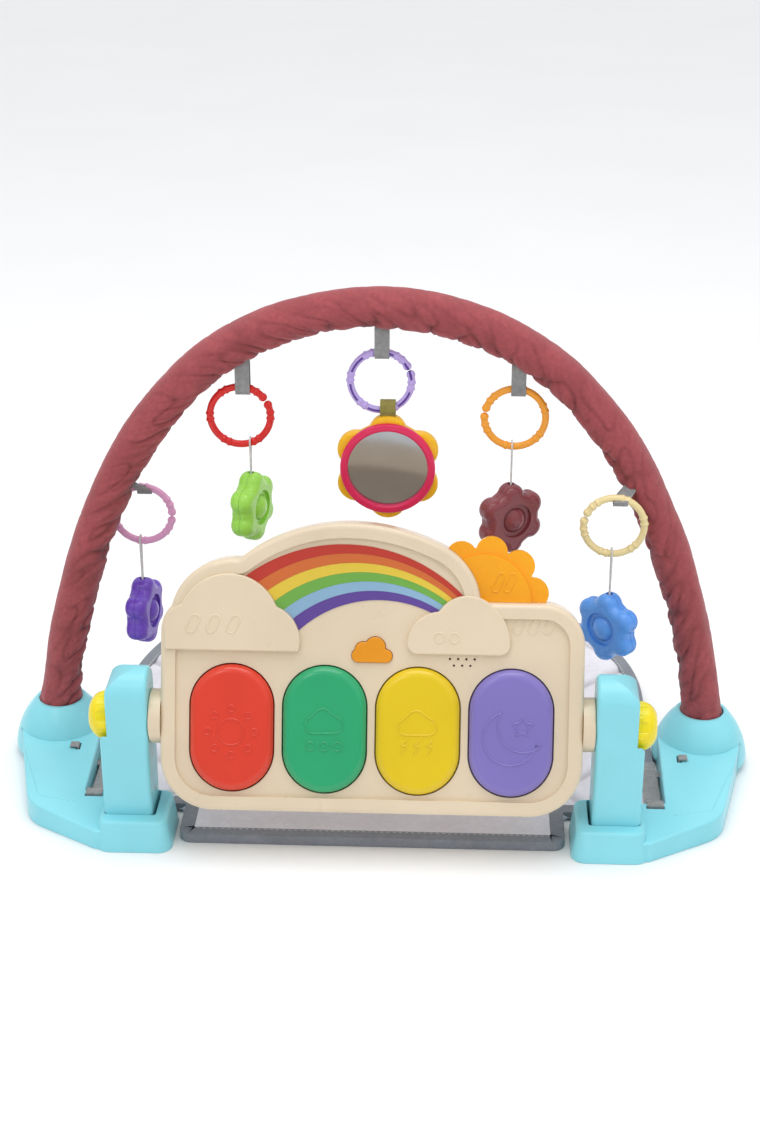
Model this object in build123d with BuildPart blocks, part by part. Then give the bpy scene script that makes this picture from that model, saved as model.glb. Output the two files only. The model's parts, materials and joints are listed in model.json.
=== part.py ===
from build123d import *
import os
from math import cos, pi, radians, sin, sqrt, tan

# Activity play gym: a padded mat, two moulded bases, a tilting piano panel on two posts and
# a padded bow with five hanging toys.  Millimetres, +Z up, +X to the right, +Y to the rear.
# The origin is on the floor, in the middle of the gym's footprint.

# ---------------------------------------------------------------- driving dimensions
# Layout
pivot_y = -260.0                # the panel's tilt axis runs along X at this place
pivot_z = 128.0
panel_lean = 20.0               # degrees back from upright
bow_y = -102.0                  # the plane of the bow
gap = 0.35                      # air between separate bodies
running = 0.05                  # radial clearance of a shaft or plug that moves in its bore

# Bow
bow_half_span = 332.0
bow_height = 485.5              # centreline at the crown
bow_spring_z = 42.9             # where the bow's curves start above the floor
bow_tube_radius = 11.0
bow_tube_wall = 1.7
sleeve_radius = 19.5
crown_angle = 51.3              # turn of the crown's arc, degrees from level
shoulder_angle = 66.0
leg_angle = 83.0
shoulder_radius = 440.0
foot_radius = 150.0

# Bases
base_wall = 3.0
plate_front_z = 20.0
plate_rear_z = 32.0
plate_rear_y = -134.0
collar_height = 31.0
collar_front_y = pivot_y - 42.0
collar_rear_y = pivot_y + 30.0
collar_inner_x = 192.0
collar_outer_x = 266.0
collar_draft = 8.0              # degrees
plate_inner_x = 286.0
plate_outer_front_x = 340.0
plate_corner_radius = 45.0
socket_radius = 48.5
socket_lip_z = 8.0
socket_height = 60.0
socket_mouth_radius = 22.5

# Posts
post_inner_x = 211.0
post_seam_x = 220.0
post_knob_x = 250.0             # the flat that the knob bears on
post_outer_x = 257.5
post_depth = 50.0
post_foot_depth = 46.0
post_top_z = 179.0
post_wall = 2.6

# Panel, in its own plane: x across, s up from the tilt axis, n out of the front face
panel_half_width = 199.0
panel_bottom_s = -86.0
panel_corner_radius = 50.0
panel_shoulder_s = 115.5
panel_crown_s = 188.5
panel_front_n = 23.0
panel_back_n = -22.0
panel_wall = 3.2
rim_width = 14.0
rim_height = 3.5
relief_height = 3.0
hub_radius = 26.0
spigot_radius = 12.0

# Keys and button
key_width = 78.5
key_length = 120.5
key_pitch = 87.6
key_centre_s = -6.7
key_crown_n = 26.5
key_skirt_n = 8.0
key_gap = 1.2
hinge_rod_radius = 1.6
key_travel = 3.0                # degrees
button_width = 38.0
button_s = 70.0
button_travel = 1.5
crease_radius = 1.5             # rounds the inward corners of the small cloud

# Hanging toys
ring_radius = 29.5              # centreline of the bar
ring_bar = 3.5
rattle_radius = 36.0
rattle_thickness = 23.0
ball_radius = 15.0
string_diameter = 1.8
webbing = 1.3
loop_width = 14.0

# Mat
mat_half_width = 283.0
mat_rear_y = 302.0
mat_front_y = pivot_y - 22.0
mat_thickness = 11.0

# ---------------------------------------------------------------- frames and helpers
os.makedirs("parts", exist_ok=True)
lean = radians(panel_lean)
up_panel = Vector(0, sin(lean), cos(lean))
out_of_panel = Vector(0, -cos(lean), sin(lean))
pivot = Vector(0, pivot_y, pivot_z)


def save(part, name):
    part.label = name
    export_step(part, f"parts/{name}.step")


def panel_plane(n=0.0):
    return Plane(origin=pivot + out_of_panel * n, x_dir=(1, 0, 0), z_dir=out_of_panel)


def mirrored(source):
    with BuildPart() as copy:
        add(source)
        mirror(about=Plane.YZ, mode=Mode.REPLACE)
    return copy.part


def save_pair(part, right_name):
    save(part, right_name)
    save(mirrored(part), right_name.replace("right", "left"))


# ---------------------------------------------------------------- the mat
mat_front_half = collar_inner_x - 5.0
mat_step_y = collar_rear_y + 4.0
mat_centre_y = mat_rear_y - mat_half_width

with BuildPart() as play_mat:
    with BuildSketch():
        with BuildLine():
            Polyline(
                (mat_half_width, mat_centre_y),
                (mat_half_width, mat_step_y),
                (mat_front_half, mat_step_y),
                (mat_front_half, mat_front_y),
                (-mat_front_half, mat_front_y),
                (-mat_front_half, mat_step_y),
                (-mat_half_width, mat_step_y),
                (-mat_half_width, mat_centre_y),
            )
            ThreePointArc(
                (-mat_half_width, mat_centre_y), (0, mat_rear_y), (mat_half_width, mat_centre_y)
            )
        make_face()
    extrude(amount=mat_thickness)
    fillet(play_mat.faces().sort_by(Axis.Z)[-1].edges(), radius=4.0)
save(play_mat.part, "play_mat")

# ---------------------------------------------------------------- the bow's line
angles = [radians(a) for a in (crown_angle, shoulder_angle, leg_angle)]
run_x = bow_half_span - shoulder_radius * (sin(angles[1]) - sin(angles[0]))
run_x -= foot_radius * (1 - sin(angles[2]))
run_z = bow_height - bow_spring_z - shoulder_radius * (cos(angles[0]) - cos(angles[1]))
run_z -= foot_radius * cos(angles[2])
crown_dx, crown_dz = sin(angles[0]), 1 - cos(angles[0])
leg_dx, leg_dz = sin(angles[2]) - sin(angles[1]), cos(angles[1]) - cos(angles[2])
crown_radius = (run_x * leg_dz - run_z * leg_dx) / (crown_dx * leg_dz - crown_dz * leg_dx)
leg_radius = (run_z - crown_radius * crown_dz) / leg_dz
bow_plane = Plane(origin=(0, bow_y, 0), x_dir=(1, 0, 0), z_dir=(0, -1, 0))


def bow_line(start_angle, foot_z):
    """The right half of the bow, from a turn of start_angle at the crown down to foot_z."""
    turn = crown_angle - start_angle
    start = (
        crown_radius * sin(radians(start_angle)),
        bow_height - crown_radius * (1 - cos(radians(start_angle))),
    )
    heading = (cos(radians(start_angle)), -sin(radians(start_angle)))
    with BuildLine(bow_plane) as line:
        crown = JernArc(start, heading, crown_radius, -turn)
        shoulder = JernArc(
            crown @ 1, crown % 1, shoulder_radius, crown_angle - shoulder_angle
        )
        leg = JernArc(shoulder @ 1, shoulder % 1, leg_radius, shoulder_angle - leg_angle)
        foot = JernArc(leg @ 1, leg % 1, foot_radius, leg_angle - 90.0)
        if foot_z < bow_spring_z:
            Line(foot @ 1, (bow_half_span, foot_z))
    return line.line


def bow_sweep(start_angle, foot_z, outer, inner):
    line = bow_line(start_angle, foot_z)
    with BuildPart() as piece:
        with BuildSketch(Plane(origin=line @ 0, z_dir=line % 0)):
            Circle(outer)
            if inner:
                Circle(inner, mode=Mode.SUBTRACT)
        sweep(path=line)
    return piece.part


# ---------------------------------------------------------------- the bow
joint_half_gap = 0.1            # degrees of the crown's arc left open between the two tubes
joiner_half_angle = 8.0
socket_floor_z = 12.0
tube_bore = bow_tube_radius - bow_tube_wall
bow_tube = bow_sweep(joint_half_gap, socket_floor_z + gap, bow_tube_radius, tube_bore)
save_pair(bow_tube, "arch_tube_right")

with BuildPart() as arch_tube_joiner:
    with BuildLine(bow_plane) as joiner_line:
        CenterArc(
            (0, bow_height - crown_radius), crown_radius, 90 - joiner_half_angle, 2 * joiner_half_angle
        )
    with BuildSketch(Plane(origin=joiner_line.line @ 0, z_dir=joiner_line.line % 0)):
        Circle(tube_bore - running)
        Circle(tube_bore - 2.5, mode=Mode.SUBTRACT)
    sweep(path=joiner_line.line)
save(arch_tube_joiner.part, "arch_tube_joiner")

sleeve_foot_z = socket_height + 1.5
sleeve_bore = bow_tube_radius + running
half_sleeve = bow_sweep(0.0, bow_spring_z, sleeve_radius, sleeve_bore)
with BuildPart() as arch_sleeve:
    add(half_sleeve)
    mirror(about=Plane.YZ)
    split(bisect_by=Plane.XY.offset(sleeve_foot_z), keep=Keep.TOP)
save(arch_sleeve.part, "arch_sleeve")

# ---------------------------------------------------------------- the bases
slope = (plate_rear_z - plate_front_z) / (plate_rear_y - collar_front_y)
plate_top = Plane(
    origin=(0, collar_front_y, plate_front_z),
    x_dir=(1, 0, 0),
    z_dir=(0, -slope, 1),
)
boss_radius = socket_radius - 4.5
dome_x = bow_half_span
collar_x = (collar_inner_x + collar_outer_x) / 2
collar_y = (collar_front_y + collar_rear_y) / 2
boss_circle = 31.0
boss_angles = (90, 210, 330)
screw_radius = 1.5
screw_head_radius = 3.0
screw_head = 2.0
pilot = 0.1                     # how much smaller a screw's hole is than the screw
post_plug_z = 8.0
socket_tube_radius = bow_tube_radius + 3.5
front_slot = (276.0, collar_rear_y - 8.0)
rear_slot = (306.0, bow_y - socket_radius - 3.5)
strap_width = 16.0
rear_strap_width = 10.0
slot_width = 4.5


def plate_outline(margin=0.0):
    """The base plate seen from above, with the round pad that carries the bow's socket."""
    with BuildSketch() as outline:
        with BuildLine():
            rear = ThreePointArc(
                (dome_x + boss_radius, bow_y), (dome_x, bow_y + boss_radius), (dome_x - boss_radius, bow_y)
            )
            Polyline(
                rear @ 1,
                (plate_inner_x, collar_rear_y),
                (collar_inner_x + 14, collar_rear_y),
                (collar_inner_x + 14, collar_front_y + 3),
                (collar_outer_x, collar_front_y + 5),
                (plate_outer_front_x, pivot_y + 9),
                rear @ 0,
            )
        make_face()
        sharp = outline.vertices().sort_by_distance((plate_outer_front_x, pivot_y + 9))
        fillet(sharp[1:], radius=4.0)
        front_corner = outline.vertices().sort_by_distance((plate_outer_front_x, pivot_y + 9))[0]
        fillet(front_corner, radius=plate_corner_radius)
        if margin:
            offset(amount=margin)
    return outline.sketch


def collar_outline(inset=0.0):
    with BuildSketch() as outline:
        with Locations((collar_x, collar_y)):
            RectangleRounded(
                collar_outer_x - collar_inner_x - 2 * inset,
                collar_rear_y - collar_front_y - 2 * inset,
                14.0,
            )
    return outline.sketch


post_pocket_x = (post_outer_x + post_inner_x - 2.6) / 2
post_pocket = (post_outer_x - post_inner_x + 2 * gap + 2.6, post_foot_depth + 2 * gap)

with BuildPart() as plate_blank:
    add(extrude(plate_outline(), plate_rear_z, mode=Mode.PRIVATE))
    split(bisect_by=plate_top, keep=Keep.BOTTOM)
    fillet(plate_blank.faces().filter_by(plate_top).edges(), radius=2.5)

with BuildPart() as plate_cavity:
    add(extrude(plate_outline(-base_wall), plate_rear_z - base_wall, mode=Mode.PRIVATE))
    split(bisect_by=plate_top.offset(-base_wall), keep=Keep.BOTTOM)
    with BuildSketch():
        add(collar_outline())
    extrude(amount=collar_height, mode=Mode.SUBTRACT)

with BuildPart() as base_right:
    with BuildSketch():
        add(collar_outline())
    extrude(amount=collar_height, taper=collar_draft)
    fillet(base_right.faces().sort_by(Axis.Z)[-1].edges(), radius=4.0)
    add(plate_blank.part)
    add(plate_cavity.part, mode=Mode.SUBTRACT)
    with BuildSketch():
        add(collar_outline(base_wall))
    extrude(amount=post_plug_z - base_wall, mode=Mode.SUBTRACT)
    with BuildSketch(Plane.XY.offset(post_plug_z)):
        with Locations((post_pocket_x, pivot_y)):
            RectangleRounded(*post_pocket, 3.0)
    extrude(amount=collar_height, mode=Mode.SUBTRACT)
    with BuildSketch():
        with Locations((plate_inner_x, rear_slot[1])):
            Rectangle(4 * base_wall, rear_strap_width + 2)
    extrude(amount=mat_thickness + 4, mode=Mode.SUBTRACT)
    with BuildSketch():
        with Locations(front_slot):
            Rectangle(strap_width + 2, slot_width)
        with Locations(rear_slot):
            Rectangle(slot_width, rear_strap_width + 2)
        with Locations((dome_x, bow_y)):
            Circle(socket_tube_radius + gap)
            for angle in boss_angles:
                with Locations(Vector(boss_circle, 0).rotate(Axis.Z, angle)):
                    Circle(screw_radius + gap)
    extrude(amount=plate_rear_z, mode=Mode.SUBTRACT)
save_pair(base_right.part, "base_right")

# ---------------------------------------------------------------- the bow's sockets
dome_plane = Plane(origin=(dome_x, bow_y, 0), x_dir=(1, 0, 0), z_dir=(0, -1, 0))
dome_axis = Axis((dome_x, bow_y, 0), (0, 0, 1))
socket_floor = 9.0
socket_seat_z = bow_spring_z - 1.0
boss_outer = 4.0


def dome_profile(inset):
    """Half of the dome's section: a lip, a round shoulder and a level crown."""
    foot = (socket_radius - inset, socket_lip_z + 4)
    shoulder = (socket_radius - 6.5 - inset, 36 - 0.4 * inset)
    crown = (socket_mouth_radius + base_wall, socket_height - inset)
    with BuildSketch(dome_plane) as profile:
        with BuildLine():
            arc = ThreePointArc(foot, shoulder, crown)
            Polyline(
                arc @ 1,
                (0, socket_height - inset),
                (0, socket_lip_z),
                (socket_radius - inset, socket_lip_z),
                arc @ 0,
            )
        make_face()
    return profile.sketch


with BuildPart() as plate_envelope:
    add(extrude(plate_outline(0.2), plate_rear_z, mode=Mode.PRIVATE))
    split(bisect_by=plate_top.offset(0.2), keep=Keep.BOTTOM)

with BuildPart() as dome_cavity:
    add(revolve(dome_profile(base_wall), axis=dome_axis, mode=Mode.PRIVATE))
    add(plate_envelope.part)
    with BuildSketch(Plane.XY.offset(socket_floor)):
        with Locations((dome_x, bow_y)):
            Circle(socket_tube_radius)
    extrude(amount=socket_height, mode=Mode.SUBTRACT)
    with BuildSketch(Plane.XY.offset(plate_rear_z)):
        with Locations((dome_x, bow_y)):
            for angle in boss_angles:
                with Locations(Vector(boss_circle, 0).rotate(Axis.Z, angle)):
                    Circle(boss_outer)
    extrude(amount=socket_height, mode=Mode.SUBTRACT)
    with BuildSketch(Plane.XY.offset(socket_seat_z - base_wall)):
        with Locations((dome_x, bow_y)):
            Circle(socket_mouth_radius + base_wall)
    extrude(amount=socket_height, mode=Mode.SUBTRACT)

with BuildPart() as arch_socket_right:
    add(revolve(dome_profile(0), axis=dome_axis, mode=Mode.PRIVATE))
    add(dome_cavity.part, mode=Mode.SUBTRACT)
    with BuildSketch(Plane.XY.offset(socket_seat_z)):
        with Locations((dome_x, bow_y)):
            Circle(socket_mouth_radius)
    extrude(amount=socket_height, mode=Mode.SUBTRACT)
    with BuildSketch(Plane.XY.offset(socket_floor_z)):
        with Locations((dome_x, bow_y)):
            Circle(bow_tube_radius + running)
    extrude(amount=socket_height, mode=Mode.SUBTRACT)
    with BuildSketch(Plane.XY.offset(plate_rear_z)):
        with Locations((dome_x, bow_y)):
            for angle in boss_angles:
                with Locations(Vector(boss_circle, 0).rotate(Axis.Z, angle)):
                    Circle(screw_radius - pilot)
    extrude(amount=10, mode=Mode.SUBTRACT)
save_pair(arch_socket_right.part, "arch_socket_right")


def screw(plane, length):
    """A pan-headed screw: the plane lies under its head and the shank points along +z."""
    with BuildPart() as piece:
        with BuildSketch(plane):
            Circle(screw_radius)
        extrude(amount=length)
        with BuildSketch(plane):
            Circle(screw_head_radius)
        extrude(amount=-screw_head)
    return piece.part


with BuildPart() as base_screws:
    for angle in boss_angles:
        corner = Vector(boss_circle, 0).rotate(Axis.Z, angle)
        seat = Plane(origin=(dome_x + corner.X, bow_y + corner.Y, plate_rear_z - base_wall))
        add(screw(seat, base_wall + 9))
    mirror(about=Plane.YZ)
save(base_screws.part, "base_screws")

# ---------------------------------------------------------------- the mat's straps
strap_x = front_slot[0]
lap_z = mat_thickness + webbing / 2
front_top_z = plate_front_z + slope * (collar_rear_y - collar_front_y) + 1.2
rear_top_z = plate_rear_z + webbing / 2
riser_y = (collar_rear_y + mat_step_y) / 2

with BuildPart() as mat_straps:
    with BuildSketch(Plane.YZ.offset(strap_x - strap_width / 2)):
        with BuildLine():
            FilletPolyline(
                (rear_slot[1] + 24, lap_z),
                (riser_y, lap_z),
                (riser_y, front_top_z),
                (front_slot[1], front_top_z),
                (front_slot[1], front_top_z - 8),
                radius=1.0,
            )
        trace(line_width=webbing)
    extrude(amount=strap_width)
    with BuildSketch(Plane.XZ.offset(-rear_slot[1] - rear_strap_width / 2)):
        with BuildLine():
            FilletPolyline(
                (strap_x, lap_z),
                (rear_slot[0], lap_z),
                (rear_slot[0], rear_top_z),
                (rear_slot[0] + 8, rear_top_z),
                radius=1.0,
            )
        trace(line_width=webbing)
    extrude(amount=rear_strap_width)
    mirror(about=Plane.YZ)
save(mat_straps.part, "mat_straps")

# ---------------------------------------------------------------- the posts
post_round = post_depth / 2
slope_drop = 15.0               # how much lower the post's top is at its outer side
knob_recess = 27.0
post_screw_z = (48.0, 86.0, 160.0)
bolt_radius = 4.0
hub_end_x = 232.0


def post_outline(inset=0.0):
    """The post seen from the side: a round head on a long neck that narrows into the collar."""
    half, foot = post_depth / 2, post_foot_depth / 2
    with BuildSketch() as outline:
        with BuildLine():
            Polyline(
                (pivot_y + half, post_top_z - post_round),
                (pivot_y + half, 74),
                (pivot_y + foot, collar_height),
                (pivot_y + foot, post_plug_z + gap),
                (pivot_y - foot, post_plug_z + gap),
                (pivot_y - foot, collar_height),
                (pivot_y - half, 74),
                (pivot_y - half, post_top_z - post_round),
            )
            ThreePointArc(
                (pivot_y - half, post_top_z - post_round),
                (pivot_y, post_top_z),
                (pivot_y + half, post_top_z - post_round),
            )
        make_face()
        if inset:
            offset(amount=-inset)
    return outline.sketch


def at_x(x):
    return Plane.YZ.offset(x)


with BuildPart() as post_right_outer:
    with BuildSketch(at_x(post_seam_x)):
        add(post_outline())
    extrude(amount=post_outer_x - post_seam_x)
    with BuildSketch(Plane.XZ.offset(-pivot_y - post_depth)):
        with BuildLine():
            shoulder = ThreePointArc(
                (post_seam_x + 2, post_top_z),
                (post_seam_x + 20, post_top_z - slope_drop / 3),
                (post_knob_x, post_top_z - slope_drop),
            )
            Polyline(
                shoulder @ 1,
                (post_outer_x + 1, post_top_z - slope_drop),
                (post_outer_x + 1, post_top_z + 5),
                (post_seam_x + 2, post_top_z + 5),
                shoulder @ 0,
            )
        make_face()
    extrude(amount=2 * post_depth, mode=Mode.SUBTRACT)
    with BuildSketch(at_x(post_knob_x)):
        with Locations((pivot_y, pivot_z)):
            Circle(knob_recess)
            Rectangle(2 * knob_recess, post_top_z, align=(Align.CENTER, Align.MIN))
    extrude(amount=20, mode=Mode.SUBTRACT)
    outer_edges = post_right_outer.faces().filter_by(Axis.X).group_by(Axis.X)[-1].edges()
    fillet(outer_edges.group_by(Axis.Z)[0] + outer_edges.filter_by(Axis.Z), radius=4.0)
    with BuildSketch(at_x(post_seam_x)):
        add(post_outline(post_wall))
        with Locations((pivot_y, post_top_z)):
            Rectangle(post_depth, 2 * (slope_drop + 5), mode=Mode.SUBTRACT)
    extrude(amount=post_knob_x - post_seam_x - post_wall - 1, mode=Mode.SUBTRACT)
    with BuildSketch(at_x(hub_end_x + gap)):
        with Locations((pivot_y, pivot_z)):
            Circle(bolt_radius + 5)
    extrude(amount=post_knob_x - hub_end_x - gap)
    with BuildSketch(at_x(post_seam_x)):
        for z in post_screw_z:
            with Locations((pivot_y, z)):
                Circle(boss_outer + 0.5)
    extrude(amount=post_knob_x - post_seam_x - post_wall)
    with BuildSketch(at_x(post_seam_x)):
        with Locations((pivot_y, pivot_z)):
            Circle(bolt_radius + running)
    extrude(amount=post_outer_x, mode=Mode.SUBTRACT)
    with BuildSketch(at_x(post_seam_x)):
        for z in post_screw_z:
            with Locations((pivot_y, z)):
                Circle(screw_radius - pilot)
    extrude(amount=15, mode=Mode.SUBTRACT)
save(post_right_outer.part, "post_right_outer")
save(mirrored(post_right_outer.part), "post_left_outer")

with BuildPart() as post_right_inner:
    with BuildSketch(at_x(post_inner_x)):
        add(post_outline())
    extrude(amount=post_seam_x - post_inner_x)
    fillet(post_right_inner.faces().sort_by(Axis.X)[0].edges(), radius=4.0)
    with BuildSketch(at_x(post_seam_x)):
        add(post_outline(post_wall))
        with Locations((pivot_y, pivot_z)):
            Circle(spigot_radius + 4, mode=Mode.SUBTRACT)
        for z in post_screw_z:
            with Locations((pivot_y, z)):
                Circle(boss_outer + 0.5, mode=Mode.SUBTRACT)
    extrude(amount=-(post_seam_x - post_inner_x - post_wall - screw_head), mode=Mode.SUBTRACT)
    with BuildSketch(at_x(post_inner_x)):
        with Locations((pivot_y, pivot_z)):
            Circle(spigot_radius + running)
        for z in post_screw_z:
            with Locations((pivot_y, z)):
                Circle(screw_radius + gap)
    extrude(amount=post_seam_x, mode=Mode.SUBTRACT)
    with BuildSketch(at_x(post_inner_x)):
        for z in post_screw_z:
            with Locations((pivot_y, z)):
                Circle(screw_head_radius + gap)
    extrude(amount=screw_head, mode=Mode.SUBTRACT)
save(post_right_inner.part, "post_right_inner")
save(mirrored(post_right_inner.part), "post_left_inner")

with BuildPart() as post_screws:
    for z in post_screw_z:
        seat = Plane(origin=(post_inner_x + screw_head, pivot_y, z), z_dir=(1, 0, 0))
        add(screw(seat, post_seam_x - post_inner_x + 8))
    mirror(about=Plane.YZ)
save(post_screws.part, "post_screws")

# ---------------------------------------------------------------- the tilt knobs
knob_radius = 24.0
knob_height = 18.5
lobes = 8

with BuildPart() as knob_right:
    with BuildSketch(at_x(post_knob_x + gap)):
        with Locations((pivot_y, pivot_z)):
            Circle(knob_radius - 2)
            with PolarLocations(knob_radius - 5, lobes):
                Circle(5)
    extrude(amount=knob_height)
    dome_section = Plane(origin=(post_knob_x + gap, pivot_y, pivot_z), x_dir=(0, 1, 0), z_dir=(0, 0, -1))
    with BuildSketch(dome_section) as dome:
        with BuildLine():
            edge = ThreePointArc((knob_radius, 0), (knob_radius * 0.8, knob_height * 0.75), (0, knob_height))
            Polyline(edge @ 1, (0, 0), edge @ 0)
        make_face()
    revolve(axis=Axis((post_knob_x, pivot_y, pivot_z), (1, 0, 0)), mode=Mode.INTERSECT)
    with BuildSketch(at_x(post_knob_x + gap)):
        with Locations((pivot_y, pivot_z)):
            Circle(bolt_radius)
    extrude(amount=-(post_knob_x - post_seam_x + 4))
save_pair(knob_right.part, "knob_right")

# ---------------------------------------------------------------- the panel's outlines
face_n = panel_front_n - rim_height
inside_front_n = face_n - panel_wall
inside_back_n = panel_back_n + panel_wall
half = panel_half_width
cloud_crease = (-half + 10, 108)
cloud_top = (-half + 73, 153)
hump_foot = (101, panel_shoulder_s)


def near(points):
    return lambda vertex: any((Vector(vertex) - Vector(*p)).length < 0.5 for p in points)


def panel_outline(inset=0.0):
    """Cloud shoulder on the left, a high rainbow hump, a low square shoulder on the right."""
    corner, low, brow = panel_corner_radius, panel_bottom_s, (66, panel_crown_s - 21)
    peak, shoulder_end = (-24, panel_crown_s), (half - 39, panel_shoulder_s)
    with BuildSketch() as outline:
        with BuildLine():
            Line((-half, low + corner), (-half, 84))
            TangentArc((-half, 84), cloud_crease, tangent=(0, 1))
            ThreePointArc(cloud_crease, (-half + 30, 140), cloud_top)
            TangentArc(peak, cloud_top, tangent=(-1, 0))
            crown = TangentArc(peak, brow, tangent=(1, 0))
            TangentArc(brow, hump_foot, tangent=crown % 1)
            Line(hump_foot, shoulder_end)
            TangentArc(shoulder_end, (half, panel_shoulder_s - 39), tangent=(1, 0))
            Line((half, panel_shoulder_s - 39), (half, low + corner))
            TangentArc((half, low + corner), (half - corner, low), tangent=(0, -1))
            Line((half - corner, low), (-half + corner, low))
            TangentArc((-half + corner, low), (-half, low + corner), tangent=(-1, 0))
        make_face()
        fillet(outline.vertices().filter_by(near([cloud_crease, cloud_top, hump_foot])), radius=3.0)
        if inset:
            offset(amount=-inset)
    return outline.sketch


def left_cloud():
    with BuildSketch() as cloud:
        with BuildLine():
            ThreePointArc((-half + 4, 84), (-half + 9, 103), (-half + 20, 110))
            ThreePointArc((-half + 20, 110), (-135, 139.5), (-90, 109))
            ThreePointArc((-90, 109), (-73, 95), (-69, 67))
            Polyline((-69, 67), (-half + 4, 67), (-half + 4, 84))
        make_face()
        fillet(cloud.vertices(), radius=3.0)
    return cloud.sketch


def right_cloud():
    with BuildSketch() as cloud:
        with BuildLine():
            ThreePointArc((34, 67), (41, 97), (62, 107))
            ThreePointArc((62, 107), (89, 122.5), (112, 113))
            ThreePointArc((112, 113), (126, 94), (128, 67))
            Line((128, 67), (34, 67))
        make_face()
        fillet(cloud.vertices().group_by(Axis.Y)[0], radius=10.0)
        fillet(cloud.vertices().filter_by(lambda v: v.Y > 90), radius=3.0)
    return cloud.sketch


def button_outline(margin=0.0):
    with BuildSketch() as cloud:
        with Locations((0, button_s - 6)):
            RectangleRounded(button_width, 12.5, 6.0)
        with Locations((3, button_s + 2.5)):
            Circle(button_width / 4)
        with Locations((-8.5, button_s - 0.5)):
            Circle(button_width / 5)
        offset(amount=crease_radius)
        offset(amount=margin - crease_radius)
    return cloud.sketch


def relief(sketch, height, edge):
    with BuildPart() as raised:
        with BuildSketch(panel_plane(face_n - 0.5)):
            add(sketch)
        extrude(amount=height + 0.5)
        fillet(raised.faces().filter_by(panel_plane()).sort_by(Axis(pivot, out_of_panel))[-1].edges(), radius=edge)
    return raised.part


key_xs = [(i - 1.5) * key_pitch for i in range(4)]
rod_s = key_centre_s + key_length / 2 + 5.0
rod_n = 12.0
rod_half_length = 20.0
bracket_x = rod_half_length - 1.0
boss_places = [
    (half - 15, 42), (half - 15, -30), (-half + 15, 42), (-half + 15, -30), (0, panel_bottom_s + 16),
    (-key_pitch, panel_bottom_s + 16), (key_pitch, panel_bottom_s + 16),
    (-half + 42, 118), (-50, panel_crown_s - 16), (48, panel_crown_s - 22), (half - 30, 92),
]
hub_stub_radius = 14.0
hub_stub = 8.0
bay_s = (88.0, 146.0)
bay_half_width = 29.0
sun_centre = (104.0, 116.0)
sun_tabs = (124.0, 146.0)
sun_back_n = -4.0
sun_front_n = 4.0
tab_thickness = 3.0
speaker_x = key_pitch - 3.0
speaker_s = 59.5
speaker_radius = 15.0
hole_rows = ((62.5, 4), (56.3, 3))
hole_pitch = 7.7

with BuildPart() as sun_tab_slots:
    for x in sun_tabs:
        with BuildSketch(panel_plane(-tab_thickness / 2 - 0.1)):
            with Locations((x, panel_shoulder_s - 3)):
                Rectangle(10.2, 14)
        extrude(amount=tab_thickness + 0.2)

with BuildPart() as hub_holes:
    with BuildSketch(Plane(origin=pivot, z_dir=(1, 0, 0))):
        Circle(hub_stub_radius)
    extrude(amount=half + 5, both=True)

# ---------------------------------------------------------------- the panel's front shell
with BuildPart() as panel_front:
    with BuildSketch(panel_plane()):
        add(panel_outline())
    extrude(amount=panel_front_n)
    fillet(panel_front.faces().sort_by(Axis(pivot, out_of_panel))[-1].edges(), radius=5.0)
    with BuildSketch(panel_plane(face_n)):
        add(panel_outline(rim_width))
    extrude(amount=rim_height + 1, mode=Mode.SUBTRACT)
    add(relief(left_cloud(), rim_height + relief_height, 1.5))
    add(relief(right_cloud(), rim_height + relief_height - 1, 1.5))
    with BuildSketch(panel_plane()):
        add(panel_outline(panel_wall))
        with Locations(*boss_places):
            Circle(boss_outer, mode=Mode.SUBTRACT)
        for x in key_xs:
            with Locations((x - bracket_x, rod_s), (x + bracket_x, rod_s)):
                Rectangle(3, 8, mode=Mode.SUBTRACT)
    extrude(amount=inside_front_n, mode=Mode.SUBTRACT)
    with BuildSketch(panel_plane()):
        for x in key_xs:
            with Locations((x - bracket_x, rod_s), (x + bracket_x, rod_s)):
                Rectangle(3.4, 8.4)
    extrude(amount=rod_n - 3.5, mode=Mode.SUBTRACT)
    with BuildSketch(panel_plane()):
        for x in key_xs:
            with Locations((x, key_centre_s)):
                SlotOverall(key_length + 2 * key_gap, key_width + 2 * key_gap, rotation=90)
        add(button_outline(0.5))
        for row_s, count in hole_rows:
            with Locations((speaker_x, row_s)):
                with GridLocations(hole_pitch, 1, count, 1):
                    Circle(1.1)
    extrude(amount=panel_front_n * 2, mode=Mode.SUBTRACT)
    with BuildSketch(panel_plane()):
        with Locations(*boss_places):
            Circle(screw_radius - pilot)
    extrude(amount=inside_front_n - 3, mode=Mode.SUBTRACT)
    for x in key_xs:
        rod_axis = pivot + Vector(x, 0, 0) + up_panel * rod_s + out_of_panel * rod_n
        with BuildSketch(Plane(origin=rod_axis, z_dir=(1, 0, 0))):
            Circle(hinge_rod_radius + 0.02)
        extrude(amount=rod_half_length + 2, both=True, mode=Mode.SUBTRACT)
    add(sun_tab_slots.part, mode=Mode.SUBTRACT)
    add(hub_holes.part, mode=Mode.SUBTRACT)
save(panel_front.part, "panel_front")

# ---------------------------------------------------------------- the panel's back shell
bay_centre_s = (bay_s[0] + bay_s[1]) / 2
bay_length = bay_s[1] - bay_s[0]
bay_wall = 1.8
bay_floor_n = -1.5
column_radius = boss_outer + 1.0
main_board = (-57.0, 50.0, 58.0, 84.0)
main_board_n = 2.0
key_board_s = -40.0
key_board_n = -6.0
board_thickness = 1.6
key_board_size = (330.0, 18.0)
standoffs_main = ((-48, 71), (41, 71))
standoffs_key = ((-150, key_board_s), (-60, key_board_s), (60, key_board_s), (150, key_board_s))

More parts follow.
